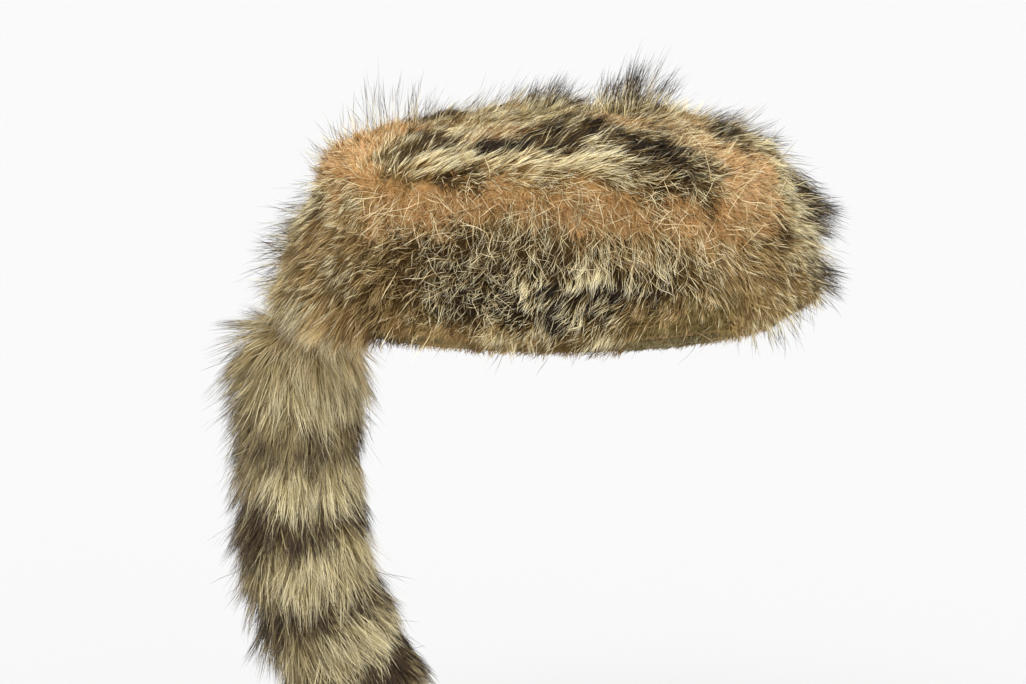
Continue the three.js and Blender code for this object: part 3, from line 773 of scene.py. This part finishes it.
def read_for_hairs(roots, out):
    """The chart for hairs with these roots: how they lie is read at the root, but their colours halfway
    along, where they are seen."""
    at = wandered(roots + out * PILE)
    root = read_chart(at)
    middle = read_chart(at + unit(root["lie"]) * (root["length"] * MM / 2)[:, None])
    return {**middle, "lie": root["lie"], "lift": root["lift"], "length": root["length"]}


def drawn(shares, luck):
    """One column of each row of shares, drawn by a number from 0 to 1."""
    passed = shares.cumsum(1) < luck[:, None] * shares.sum(1, keepdims=True)
    return passed.sum(1).clip(0, shares.shape[1] - 1)


# %% [markdown]
# Roots are scattered over a fleece body by area. Only its outer faces grow hair: the side that lies
# against the skin is hidden.

# %% Scattering the roots


def scattered(mesh, count, wanted, luck):
    """count places on the faces that wanted keeps, with the smooth normal at each."""
    mesh.calc_loop_triangles()
    corners = numbers(mesh.loop_triangles, "vertices", 3, np.int32)
    at, normals = numbers(mesh.vertices, "co", 3), numbers(mesh.vertex_normals, "vector", 3)
    a, b, c = at[corners].transpose(1, 0, 2)
    facing = np.cross(b - a, c - a)
    area = np.linalg.norm(facing, axis=1) * wanted((a + b + c) / 3, unit(facing))
    face = luck.choice(len(area), count, p=area / area.sum())
    u, v = luck.random((2, count))
    flip = u + v > 1
    u[flip], v[flip] = 1 - u[flip], 1 - v[flip]
    share = np.stack([1 - u - v, u, v], 1)[:, :, None]
    roots = (at[corners[face]] * share).sum(1).astype(float)
    return roots, unit((normals[corners[face]] * share).sum(1).astype(float))


# %% [markdown]
# One hair is a ribbon that leaves the skin steeply and bends over to the way that the fur is combed. Real
# hairs cling together in locks, which is what gives fur its shape at arm's length, so each hair also
# leans towards the hair in the middle of its lock, more so towards the tip. A guard hair is about 0.1 mm
# thick, but at 0.44 mm to a pixel that would need millions of them, so a ribbon is 0.14 to 0.34 mm wide
# and stands for the few hairs that cling to it.

# %% Growing a lock of hair
LARGE_SWING, SMALL_SWING = 0.3, 0.2  # how far large and small locks lean sideways, in radians
LARGE_STAND, SMALL_STAND = 0.08, 0.06  # and how far up or down
LENGTHS_DIFFER, TONES_DIFFER = 0.14, 0.11  # from lock to lock
RISE = 0.45  # the share of a hair's length over which it still rises
CURL_BEND, CURL_WAVE = 0.28, 0.22  # sideways, in a hair's lengths, where curl is 1
TAPER = (0, 0.3, 0.75, 1), (0.7, 1, 0.75, 0.1)  # how far along a hair, and its width there
SIDE_MARGIN, END_MARGIN = 0.06, 0.03  # left free round each square of the coats' map
MAP_HALF_WIDTH = 0.03  # of a ribbon on the map, in squares


def on_coat_map(coat, tone, share, segments):
    """The ribbons' corners on the map: share is how far along the hair each of them is."""
    column, row = coat % GRID, coat // GRID
    centre = (column + SIDE_MARGIN + (1 - 2 * SIDE_MARGIN) * tone) / GRID
    up = (row[:, None] + END_MARGIN + (1 - 2 * END_MARGIN) * share[None]) / GRID
    edges = np.stack([centre - MAP_HALF_WIDTH / GRID, centre + MAP_HALF_WIDTH / GRID], 1)
    u = np.concatenate([np.tile(edges, segments), centre[:, None]], 1)
    v = np.concatenate([np.repeat(up[:, :-1], 2, axis=1), up[:, -1:]], 1)
    return np.stack([u, v], 2)


def grown(
    roots, out, lie, locks, length, width, coat, tone, lift, curl, luck, cling=0.6, soft=0.5, segments=3
):
    """The ribbons' points, their normals and their places on the coats' map.

    lift is the angle at which the tips stand off the fleece. locks holds each root's large and small lock,
    cling is how close the tips of a lock come together, and soft is how much of a ribbon's own facing
    its shading keeps."""
    count = len(roots)
    large, small = locks
    flat = unit(lie - out * (lie * out).sum(1, keepdims=True))
    side = np.cross(out, flat)
    # Each lock as a whole leans its own way, and curly hair is unruly.
    unruly = 0.5 + curl
    swing = (LARGE_SWING * luck.normal(size=count))[large] + (SMALL_SWING * luck.normal(size=count))[small]
    stand = (LARGE_STAND * luck.normal(size=count))[large] + (SMALL_STAND * luck.normal(size=count))[small]
    length = length * (1 + LENGTHS_DIFFER * luck.normal(size=count).clip(-2, 2))[small]
    tone = (tone + (TONES_DIFFER * luck.normal(size=count))[small]).clip(0, 1)
    flat = unit(flat + side * (swing * unruly)[:, None])
    side = np.cross(out, flat)
    wander = luck.normal(size=count) * (0.05 + 0.5 * curl**2)
    tilt = (lift + stand + luck.normal(size=count) * 0.1).clip(0.02, 1.5)
    combed = unit(flat * np.cos(tilt)[:, None] + out * np.sin(tilt)[:, None] + side * wander[:, None])
    rising = unit(combed + out * 0.3)
    share = np.linspace(0, 1, segments + 1)
    bow = share**2
    # A bent hair: it starts along rising and ends along combed.
    line = (
        roots[:, None]
        + (rising * length[:, None] * RISE)[:, None] * (2 * share - bow)[None, :, None]
        + (combed * length[:, None] * (1 - RISE))[:, None] * bow[None, :, None]
    )
    sideways, upwards_too = side[:, None], out[:, None] * 0.4
    bend = luck.normal(size=(count, 1, 1)) * sideways + luck.normal(size=(count, 1, 1)) * upwards_too
    wave = luck.normal(size=(count, 1, 1)) * sideways + luck.normal(size=(count, 1, 1)) * upwards_too
    sway = (curl * length)[:, None, None]
    line += bend * sway * CURL_BEND * bow[None, :, None]
    line += wave * sway * CURL_WAVE * np.sin(share * math.pi * 1.6)[None, :, None] * share[None, :, None]
    # The tips of a lock lean towards its middle hair.
    pinch = cling * (1 - 0.8 * curl).clip(0, 1)[:, None, None] * (share**1.4)[None, :, None]
    offset = (roots - roots[small])[:, None]
    target = line[small] + offset * (1 - 0.75 * share)[None, :, None]
    line += (target - line) * pinch
    tangent = unit(np.gradient(line, axis=1))
    across = unit(np.cross(tangent, out[:, None]))
    over = np.cross(across, tangent)
    turn = luck.uniform(-0.9, 0.9, (count, 1, 1))
    ribbon = across * np.cos(turn) + over * np.sin(turn)
    facing = np.cross(ribbon, tangent)
    half = width[:, None] / 2 * np.interp(share, *TAPER)[None]
    left, right = line - ribbon * half[:, :, None], line + ribbon * half[:, :, None]
    edges = np.stack([left[:, :-1], right[:, :-1]], 2).reshape(count, -1, 3)
    points = np.concatenate([edges, line[:, -1:]], 1)
    normal = unit(out[:, None] * (1.25 - soft) + facing * soft)
    normals = np.concatenate([np.repeat(normal[:, :-1], 2, axis=1), normal[:, -1:]], 1)
    return points, normals, on_coat_map(coat, tone, share, segments)


# %% [markdown]
# Locks form where hairs stand near each other. The skin is cut into boxes of a lock's size, one hair in
# each box becomes the middle of a lock, and every hair joins the middle that is nearest.

# %% Gathering hairs into locks


def gathered(roots, spacing, luck):
    """For each root, the number of the root in the middle of its lock. Middles lie about spacing apart."""
    cells = np.floor(roots / spacing + luck.random(3)).astype(int)
    _, middles = np.unique(cells, axis=0, return_index=True)
    tree = KDTree(len(middles))
    for k, number in enumerate(middles.tolist()):
        tree.insert(roots[number], k)
    tree.balance()
    return middles[np.array([tree.find(root)[1] for root in roots.tolist()])]


# %% [markdown]
# All the ribbons of a piece go into one mesh, because Blender is slow with a hundred thousand objects.
# Each ribbon is a strip of four-sided faces that ends in a triangle. Its normals are mixed from its own
# facing and the pelt's, so that flat ribbons are shaded softly, as a coat of round hairs is.

# %% A mesh of many hairs


def hair_piece(name, material, growths):
    """One mesh of all the ribbons in growths, each a result of grown."""
    points, normals, maps, corners, starts = [], [], [], [], []
    total = loops = 0
    for line, normal, uv in growths:
        count, each = line.shape[:2]
        segments = (each - 1) // 2
        quads = [(2 * k, 2 * k + 1, 2 * k + 3, 2 * k + 2) for k in range(segments - 1)]
        pattern = np.array([*sum(quads, ()), 2 * segments - 2, 2 * segments - 1, 2 * segments])
        index = (pattern[None] + each * np.arange(count)[:, None]).ravel() + total
        begin = np.array([4 * k for k in range(segments)])
        starts.append(((begin[None] + len(pattern) * np.arange(count)[:, None]).ravel()) + loops)
        corners.append(index)
        points.append(line.reshape(-1, 3))
        normals.append(normal.reshape(-1, 3))
        maps.append(uv.reshape(-1, 2)[index - total])
        total += count * each
        loops += len(index)
    points, normals, corners = np.concatenate(points), np.concatenate(normals), np.concatenate(corners)
    starts, maps = np.concatenate(starts), np.concatenate(maps)
    mesh = bpy.data.meshes.new(name)
    mesh.vertices.add(len(points))
    mesh.vertices.foreach_set("co", points.astype(np.float32).ravel())
    mesh.loops.add(len(corners))
    mesh.loops.foreach_set("vertex_index", corners.astype(np.int32))
    mesh.polygons.add(len(starts))
    mesh.polygons.foreach_set("loop_start", starts.astype(np.int32))
    mesh.update(calc_edges=True)
    mesh.uv_layers.new(name="OFBake").uv.foreach_set("vector", maps.astype(np.float32).ravel())
    mesh.normals_split_custom_set_from_vertices(normals.astype(np.float32))
    piece = link_mesh(name, mesh, material)
    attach(piece, "root")
    triangles = int((np.diff(np.append(starts, len(corners))) - 2).sum())
    print(name, "hairs:", sum(len(growth[0]) for growth in growths), "triangles:", triangles)


# %% [markdown]
# Most hairs of a lock wear the same coat, and the others make the fur look grizzled. Slow waves over the
# pelt make whole patches a little lighter or darker.

# %% Which coat a hair wears
FOLLOW = 0.65  # the share of the hairs that take their lock's coat
HAIRS_DIFFER = 0.22  # how much their tones differ


def coat_and_tone(found, small, luck, clump_tone):
    """Each hair's coat and how light it is. Two hairs in three follow their lock, the others don't."""
    count = len(small)
    own, shared = luck.random(count), luck.random(count)[small]
    choice = np.where(luck.random(count) < FOLLOW, shared, own)
    again = np.where(luck.random(count) < FOLLOW, luck.random(count)[small], luck.random(count))
    main, other = drawn(found["coat"], again), drawn(found["other"], again)
    tone = 0.5 + HAIRS_DIFFER * luck.normal(size=count) + clump_tone
    return np.where(choice < found["share"], other, main), tone.clip(0, 1)


def patchy(at, wavelength, seed):
    """A slow number from about -1 to 1 over the surface."""
    waves = np.random.default_rng(seed)
    total = np.zeros(len(at))
    for _ in range(6):
        way = unit(waves.normal(size=3))
        turns = at @ way * (2 * math.pi / (wavelength * waves.uniform(0.7, 1.4)))
        total += np.sin(turns + waves.uniform(0, 6.28))
    return total / 3


# %% [markdown]
# The fleece bodies are the deepest wool that one sees between the hairs. Wool is matt, with hardly any
# gloss, and its light and dark tufts are about 4 mm wide. The colour comes from the chart: each point of
# the body holds the mean colour of the wool that grows there, darkened as painted shade of the pile.

# %% The fleece bodies' wool
TUFT_OF_WOOL = 4 * MM
SHADED = 0.9  # the bodies lie in the shade of the pile


def fleece_material(name):
    material, tree, shader = new_material(name)
    place = add(tree, "ShaderNodeTexCoord").outputs["Object"]
    colour = add(tree, "ShaderNodeAttribute", attribute_name="wool_colour")
    mottle = add(
        tree, "ShaderNodeTexNoise", {"Vector": place}, Scale=1 / TUFT_OF_WOOL, Detail=5, Roughness=0.7
    )
    shade = add(
        tree,
        "ShaderNodeMapRange",
        {"Value": mottle.outputs["Fac"]},
        From_Min=0.25,
        From_Max=0.75,
        To_Min=0.75,
        To_Max=1.1,
    )
    mixed = add(
        tree,
        "ShaderNodeMix",
        {6: colour.outputs["Color"], 7: shade.outputs["Result"]},
        data_type="RGBA",
        blend_type="MULTIPLY",
        i0=1.0,
    )
    bump = add(tree, "ShaderNodeBump", {"Height": mottle.outputs["Fac"]}, Strength=0.6, Distance=1 * MM)
    tree.links.new(mixed.outputs[2], shader.inputs["Base Color"])
    tree.links.new(bump.outputs["Normal"], shader.inputs["Normal"])
    shader.inputs["Roughness"].default_value = 0.95
    shader.inputs["Specular IOR Level"].default_value = 0.05
    return material


fleece_wool = fleece_material("raccoon_fleece")
WOOL_MIDDLE = np.array([linear(stops[1][1])[:3] for stops in WOOL_COATS.values()])


def body_piece(mesh, node_names, colours):
    """Turns a fleece body into a piece that replaces its CAD nodes."""
    layer = mesh.color_attributes.new("wool_colour", "FLOAT_COLOR", "POINT")
    opaque = np.column_stack([colours, np.ones(len(colours))]).astype(np.float32)
    layer.data.foreach_set("color", opaque.ravel())
    piece = link_mesh(mesh.name, mesh, fleece_wool)
    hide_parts(*node_names)
    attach(piece, "root")
    mesh.calc_loop_triangles()
    print(mesh.name, "triangles:", len(mesh.loop_triangles))


at, out = numbers(cap_fleece.vertices, "co", 3), numbers(cap_fleece.vertex_normals, "vector", 3)
cap_wool = read_above(at, out)["wool"] @ WOOL_MIDDLE * SHADED
body_piece(cap_fleece, ("side_fur", "top_fur"), cap_wool)

# %% [markdown]
# Along the lower edge the pelt folds round to form the hem, and the hair is clipped there. What shows
# below the fleece is skin with a short nap of the same colours as the wool above it.

# %% The clipped hem
FULLNESS = 1.0
HEM_SHOWS = 11 * MM  # what of the hem and the band's lower edge stands out below the fleece


def outside_hem(middle, normal):
    return (normal * unit(middle * (1, 1.4, 0))).sum(1) > -0.2


def nap_growth(count, seed):
    """The clipped hair on the fold of the hem."""
    luck = np.random.default_rng(seed)
    roots, out = scattered(joined("rim_hem", "side_band"), int(count * FULLNESS), outside_hem, luck)
    low = roots[:, 2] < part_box("rim_hem")[0][2] + HEM_SHOWS
    roots, out = roots[low], out[low]
    found = read_above(roots, out)
    many = len(roots)
    coat = drawn(found["wool"], luck.random(many))
    tone = (0.5 + 0.14 * luck.normal(size=many)).clip(0, 1)
    length = (1.2 + 0.42 * found["length"]) * MM * luck.uniform(0.6, 1.15, many)
    width = luck.uniform(0.2, 0.32, many) * MM
    lie = found["lie"] + luck.normal(size=roots.shape) * 0.4
    locks = gathered(roots, 8 * MM, luck), gathered(roots, 3 * MM, luck)
    lift, curl = np.full(many, 0.4), np.full(many, 0.4)
    return grown(
        roots, out, lie, locks, length, width, coat, tone, lift, curl, luck, cling=0.3, soft=0.2, segments=2
    )


hair_piece("hem_nap", wool, [nap_growth(90000, 10)])

# %% [markdown]
# On the fleece bodies stands a pile of short wool. Each hair is a strand of underfur, thin and crimped, and
# the pile gives the open patches their velvet look. The band and the top panel are pieces of their own,
# so each gets its own share of the roots: below the band's top edge, or above it.

# %% Short wool
BAND_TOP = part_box("side_band")[1][2]
MIDDLE = np.array((-2, 0, 0)) * MM  # the middle of the head opening
WOOL_LIFT = 0.32  # radians


def outside_band(middle, normal):
    outwards = unit((middle - MIDDLE) * (1, 1.4, 0))
    return ((normal * outwards).sum(1) > -0.1) & (middle[:, 2] < BAND_TOP + 1 * MM)


def outside_top(middle, normal):
    return (normal[:, 2] > -0.3) & (middle[:, 2] > BAND_TOP + 1 * MM)


def rooted(read, wanted, count, seed):
    """Roots on the cap's fleece, what the chart says there, and the luck of the hairs that grow on them."""
    luck = np.random.default_rng(seed)
    roots, out = scattered(cap_fleece, int(count * FULLNESS), wanted, luck)
    return roots, out, read(roots, out), luck


def wool_growth(wanted, count, seed):
    roots, out, found, luck = rooted(read_above, wanted, count, seed)
    many = len(roots)
    coat = drawn(found["wool"], luck.random(many))
    tone = (0.5 + 0.07 * luck.normal(size=many) + 0.13 * patchy(roots, 16 * MM, seed)).clip(0, 1)
    length = np.minimum(luck.uniform(3.5, 7, many), found["length"] * 0.8 + 1) * MM
    # Where the chart lets the hair stand, the wool under it stands and is longer.
    lift = np.radians(found["lift"]).clip(WOOL_LIFT, 1)
    length = length * (1 + (lift - WOOL_LIFT) * 0.8)
    width = luck.uniform(0.2, 0.34, many) * MM
    lie = found["lie"] + luck.normal(size=roots.shape) * 0.6
    locks = gathered(roots, 8 * MM, luck), gathered(roots, 3 * MM, luck)
    curl = np.full(many, 0.4)
    return grown(
        roots, out, lie, locks, length, width, coat, tone, lift, curl, luck, cling=0.3, soft=0.2, segments=2
    )


hair_piece("side_wool", wool, [wool_growth(outside_band, 58000, 11)])
hair_piece("top_wool", wool, [wool_growth(outside_top, 30000, 12)])

# %% [markdown]
# The guard hairs carry the pattern. As many are left as the chart says, and each reads its coats where its
# middle will lie, because the middle is what one sees. They lie over each other like thatch, and where few
# are left they cross.

# %% Guard hairs


def thinned(roots, out, found, share, luck):
    """The share of the roots that is left."""
    kept = luck.random(len(roots)) < share
    return roots[kept], out[kept], {name: values[kept] for name, values in found.items()}


def guard_growth(wanted, count, seed):
    roots, out, found, luck = rooted(read_for_hairs, wanted, count, seed)
    roots, out, found = thinned(roots, out, found, found["guard"], luck)
    locks = gathered(roots, 9 * MM, luck), gathered(roots, 4 * MM, luck)
    coat, tone = coat_and_tone(found, locks[1], luck, 0.14 * patchy(roots, 12 * MM, seed))
    length = found["length"] * MM * luck.uniform(0.75, 1.15, len(roots))
    width = luck.uniform(0.2, 0.34, len(roots)) * (1 - 0.3 * found["curl"]) * MM
    astray = (1 - found["guard"])[:, None] * 0.7
    lie = found["lie"] + luck.normal(size=roots.shape) * astray
    lift = np.radians(found["lift"])
    return grown(roots, out, lie, locks, length, width, coat, tone, lift, found["curl"], luck)


hair_piece("side_guard_hair", guard_hair, [guard_growth(outside_band, 48000, 13)])
hair_piece("top_guard_hair", guard_hair, [guard_growth(outside_top, 38000, 14)])

# %% [markdown]
# Two kinds of single hairs finish the coat. Long fine ones, most of them with dark tips, stand off it and
# blur its outline against the light. Others, straw-coloured but for one in five that is brown, lie over the
# open patches of wool in every direction.

# %% Stray hairs


def stray_growth(wanted, count, seed):
    """Long fine hairs that stand off the coat, most of them with dark tips."""
    roots, out, found, luck = rooted(read_for_hairs, wanted, count, seed)
    roots, out, found = thinned(roots, out, found, found["guard"] ** 0.5, luck)
    locks = gathered(roots, 12 * MM, luck), gathered(roots, 6 * MM, luck)
    coat, tone = coat_and_tone(found, locks[1], luck, 0)
    coat = np.where(luck.random(len(roots)) < 0.6, list(GUARD_COATS).index("black_tip"), coat)
    length = (found["length"] + 7) * MM * luck.uniform(0.6, 1.15, len(roots))
    width = luck.uniform(0.14, 0.24, len(roots)) * MM
    lift = np.radians(found["lift"]) + luck.uniform(0.2, 0.75, len(roots))
    curl = (found["curl"] * 1.2).clip(0.2, 1)
    return grown(
        roots, out, found["lie"], locks, length, width, coat, tone, lift, curl, luck, cling=0.2, segments=5
    )


def crossing_growth(wanted, count, seed):
    """Long straw-coloured and brown hairs that lie in every direction on the open wool."""
    roots, out, found, luck = rooted(read_above, wanted, count, seed)
    roots, out, found = thinned(roots, out, found, (1.3 - 2 * found["guard"]).clip(0, 1), luck)
    many = len(roots)
    coat = np.where(luck.random(many) < 0.8, *[list(GUARD_COATS).index(name) for name in ("straw", "brown")])
    tone = (0.6 + 0.15 * luck.normal(size=many)).clip(0, 1)
    length, width = luck.uniform(9, 19, many) * MM, luck.uniform(0.2, 0.3, many) * MM
    lie = found["lie"] * 0.5 + luck.normal(size=roots.shape)
    locks = np.arange(many), np.arange(many)
    lift, curl = luck.uniform(0.25, 0.6, many), luck.uniform(0.2, 0.6, many)
    return grown(roots, out, lie, locks, length, width, coat, tone, lift, curl, luck, cling=0, segments=5)


side_strays = [stray_growth(outside_band, 3800, 15), crossing_growth(outside_band, 2200, 18)]
top_strays = [stray_growth(outside_top, 2600, 16), crossing_growth(outside_top, 900, 19)]
hair_piece("side_stray_hair", guard_hair, side_strays)
hair_piece("top_stray_hair", guard_hair, top_strays)

# %% [markdown]
# Last on the cap come the tufts that break its outline: long guard hairs, most of them with dark tips. They
# get a chart of their own. Spread is the radius, in mm, of the spot that a tuft grows on, and hairs is how
# many it has.

# %% Tufts along the outline
TUFTS = """
across down heading lift length spread hairs coat other share
515 100 48 40 14 9 110 black_tip banded 0.3
536 96 62 50 20 10 260 black_tip dark 0.3
552 98 60 50 13 7 60 black_tip banded 0.3
604 100 85 50 14 9 90 black_tip cream 0.3
616 98 82 55 24 11 220 black_tip dark 0.4
632 98 74 55 27 11 170 black_tip dark 0.4
652 104 66 50 18 8 60 black_tip dark 0.4
672 110 72 45 12 8 70 cream pale 0.4
690 116 60 45 13 9 60 cream pale 0.4
712 118 25 25 14 10 180 dark black_tip 0.4
745 124 25 32 16 12 120 black_tip dark 0.3
772 134 30 38 13 10 40 black_tip cream 0.3
795 165 15 32 17 9 60 black_tip cream 0.3
802 178 12 30 24 12 460 black_tip dark 0.5
808 206 0 30 22 10 400 black_tip dark 0.5
800 236 350 20 10 9 30 black_tip gold 0.4
814 264 352 32 20 9 260 black_tip dark 0.4
805 288 325 40 13 10 40 black_tip gold 0.4
790 310 300 45 16 12 70 black_tip cream 0.3
770 322 285 50 18 10 50 black_tip cream 0.3
290 200 165 50 18 11 90 black_tip dark 0.4
280 225 165 50 22 12 120 black_tip dark 0.4
276 255 175 48 24 12 120 black_tip dark 0.4
274 282 185 42 20 10 110 black_tip gold 0.5
318 155 140 60 16 10 26 black_tip cream 0.3
345 130 112 70 20 12 40 black_tip cream 0.3
392 118 86 75 26 14 70 black_tip dark 0.3
425 122 70 65 14 10 40 black_tip dark 0.4
470 114 50 45 13 12 40 black_tip cream 0.4
520 340 262 50 12 8 40 cream gold 0.4
262 304 205 30 22 12 300 cream banded 0.2
252 314 212 25 26 12 260 cream banded 0.3
250 330 222 25 24 12 160 banded gold 0.3
282 292 215 35 20 12 420 banded gold 0.4
300 304 232 38 22 13 520 pale brown 0.3
325 316 245 38 20 13 460 pale brown 0.3
350 324 252 35 16 11 300 gold brown 0.3
"""
tufts = columns(TUFTS)


def everywhere(middle, normal):
    return np.ones(len(middle))


NUMBERS = ("across", "down", "heading", "lift", "length", "spread", "hairs", "share")
TUFT_PLACES = 60000  # places over the whole cap that the tufts choose their roots from


def tuft_growth(luck):
    """All the tufts, one after the other."""
    grown_tufts = []
    roots, out = scattered(cap_fleece, TUFT_PLACES, everywhere, luck)
    for k in range(len(tufts["hairs"])):
        row = [float(tufts[name][k]) for name in NUMBERS]
        across, down, heading, lift, length, spread, hairs, share = row
        place, way = np.array(landed(across, down)[0]), np.array(heading_way(heading))
        near = np.flatnonzero(np.linalg.norm(roots + out * PILE - place, axis=1) < spread * MM)
        near = luck.choice(near, max(4, int(hairs * FULLNESS)))
        many = len(near)
        # A tuft stands together, so its hairs rise from the fleece nearly side by side.
        at, up = roots[near], unit(out[near] * 0.5 + unit(out[near].mean(0)))
        other = luck.random(many) < share
        coat = np.where(other, *[list(GUARD_COATS).index(tufts[name][k]) for name in ("other", "coat")])
        tone = (0.5 + 0.15 * luck.normal(size=many)).clip(0, 1)
        locks = gathered(at, 7 * MM, luck), gathered(at, 4 * MM, luck)
        long = length * MM * luck.uniform(0.6, 1.15, many)
        lifted = np.radians(lift) + 0.12 * luck.normal(size=many)
        width, curl = luck.uniform(0.16, 0.28, many) * MM, np.full(many, 0.25)
        ways = np.tile(way, (many, 1))
        grown_tufts.append(
            grown(at, up, ways, locks, long, width, coat, tone, lifted, curl, luck, cling=0.45, segments=4)
        )
    return grown_tufts


hair_piece("outline_tufts", guard_hair, tuft_growth(np.random.default_rng(17)))

# %% [markdown]
# The tail is the raccoon's own, with rings of buff and near-black hair that lies down the tail. Its axis is
# measured from its fleece body, as the middle of each level.

# %% The tail's axis
ROOT_LEFT, TIP_LEFT = 4 * MM, 8 * MM  # what the levels leave out at the ends
SLICE = 6 * MM  # half the height of what a level's middle is taken from

at = numbers(tail_fleece.vertices, "co", 3).astype(float)
levels = np.linspace(at[:, 2].max() - ROOT_LEFT, at[:, 2].min() + TIP_LEFT, 24)
axis = np.array([at[np.abs(at[:, 2] - level) < SLICE].mean(0) for level in levels])
axis[:, 2] = levels
for _ in range(3):
    axis[1:-1, 0] = (axis[:-2, 0] + 2 * axis[1:-1, 0] + axis[2:, 0]) / 4
axis[:, 1] = 0
steps = np.linalg.norm(np.diff(axis, axis=0), axis=1)
reach_down = np.concatenate([[0], steps.cumsum()])
print("tail axis, mm long:", round(reach_down[-1] * 1000))


def on_axis(points):
    """How far down the tail each point lies, and the axis's place and direction there."""
    far = ((points[:, None] - axis[None]) ** 2).sum(2)
    near = far.argmin(1).clip(1, len(axis) - 2)
    tangent = unit(axis[near + 1] - axis[near - 1])
    ahead = ((points - axis[near]) * tangent).sum(1)
    return reach_down[near] + ahead, axis[near] + tangent * ahead[:, None], tangent


# %% [markdown]
# The rings belong to the roots, so a ring's lower edge is ragged where its tips lie over the next one. A
# row says where a ring of roots starts, in mm down the tail's axis, and which coats grow there.

# %% The rings
RINGS = """
start coat other share wool
-20 buff rust 0.35 khaki
10 buff smoked 0.35 khaki
28 smoked sooty 0.1 khaki
48 buff smoked 0.2 khaki
70 sooty smoked 0.25 grey
85 buff smoked 0.15 khaki
110 sooty smoked 0.25 grey
126 buff smoked 0.28 khaki
149 sooty smoked 0.1 grey
171 buff smoked 0.5 khaki
189 sooty smoked 0.1 grey
"""
rings = columns(RINGS)
ring_start = np.array(rings["start"], float) * MM
ring_coats = {
    "coat": np.array([list(TAIL_COATS).index(word) for word in rings["coat"]]),
    "other": np.array([list(TAIL_COATS).index(word) for word in rings["other"]]),
    "share": np.array(rings["share"], float),
    "wool": np.array([list(WOOL_COATS).index(word) for word in rings["wool"]]),
}


def ring_at(down):
    return (np.searchsorted(ring_start, down) - 1).clip(0, len(ring_start) - 1)


TAIL_SHADED = 0.8  # the longer hair shades the tail's body more
LOWER = 6 * MM  # the wool's rings lie this much further down than the roots'

down, _, _ = on_axis(at)
tail_wool = WOOL_MIDDLE[ring_coats["wool"][ring_at(down - LOWER)]] * TAIL_SHADED
body_piece(tail_fleece, ("tail",), tail_wool)

# %% [markdown]
# The tail's hair is longer than the cap's and clings together more. At the root it fans out over the rim,
# and on the tail's back its tips are dark. In front, where the tail bends forwards, it is shorter and lies
# close. A few fine stray hairs stand off it.

# %% The tail's hair
FLARE = 18 * MM  # how far down the root the hair still fans out
BEND = 135 * MM  # how far down the tail it bends forwards


def tail_growth(count, seed, width, reach=1.0, stand=0.0, curl=0.2, segments=3):
    luck = np.random.default_rng(seed)
    roots, out = scattered(tail_fleece, int(count * FULLNESS), everywhere, luck)
    many = len(roots)
    down, middle, tangent = on_axis(roots)
    away = unit(roots - middle)
    ragged = down + 3 * MM * patchy(roots, 16 * MM, seed) + 2.2 * MM * luck.normal(size=many)
    ring = ring_at(ragged)
    # The second coat comes in locks, most of all near the root.
    flare = np.exp(-down.clip(0) / FLARE)
    chance = ring_coats["share"][ring] + (0.2 + 0.3 * flare) * patchy(roots, 15 * MM, seed + 1)
    coat = np.where(luck.random(many) < chance, ring_coats["other"][ring], ring_coats["coat"][ring])
    behind = (-away[:, 0] - 0.1).clip(0, 1)
    names = list(TAIL_COATS)
    pale = (coat == names.index("buff")) | (coat == names.index("rust"))
    coat[pale & (luck.random(many) < behind * 1.1)] = names.index("smoked")
    tone = (0.5 + 0.16 * luck.normal(size=many) + 0.1 * patchy(roots, 10 * MM, seed)).clip(0, 1)
    length = luck.uniform(15, 28, many) * MM * reach
    bent = (away[:, 0] * 1.5).clip(0, 1) * (down > BEND)
    length = length * (1 - 0.35 * bent)
    lift = 0.16 + stand - 0.12 * bent + 0.3 * behind + 0.35 * flare + 0.05 * luck.normal(size=many)
    wide = luck.uniform(*width, many) * MM
    locks = gathered(roots, 11 * MM, luck), gathered(roots, 4 * MM, luck)
    curl = np.full(many, curl)
    # On the root's flat top the hairs fan outwards, and everywhere else they lie down the tail.
    on_top = (out[:, 2:] > 0.5) & (down[:, None] < 6 * MM)
    upright = unit(np.where(on_top, out + away * 0.8, away + out * 0.3))
    lie = unit(np.where(on_top, away + tangent * 0.4, tangent))
    return grown(
        roots, upright, lie, locks, length, wide, coat, tone, lift, curl, luck, cling=0.68, segments=segments
    )


tail_strays = tail_growth(3000, 22, (0.14, 0.24), reach=0.98, stand=0.2, curl=0.4, segments=4)
hair_piece("tail_guard_hair", tail_hair, [tail_growth(38000, 21, (0.2, 0.34))])
hair_piece("tail_stray_hair", tail_hair, [tail_strays])
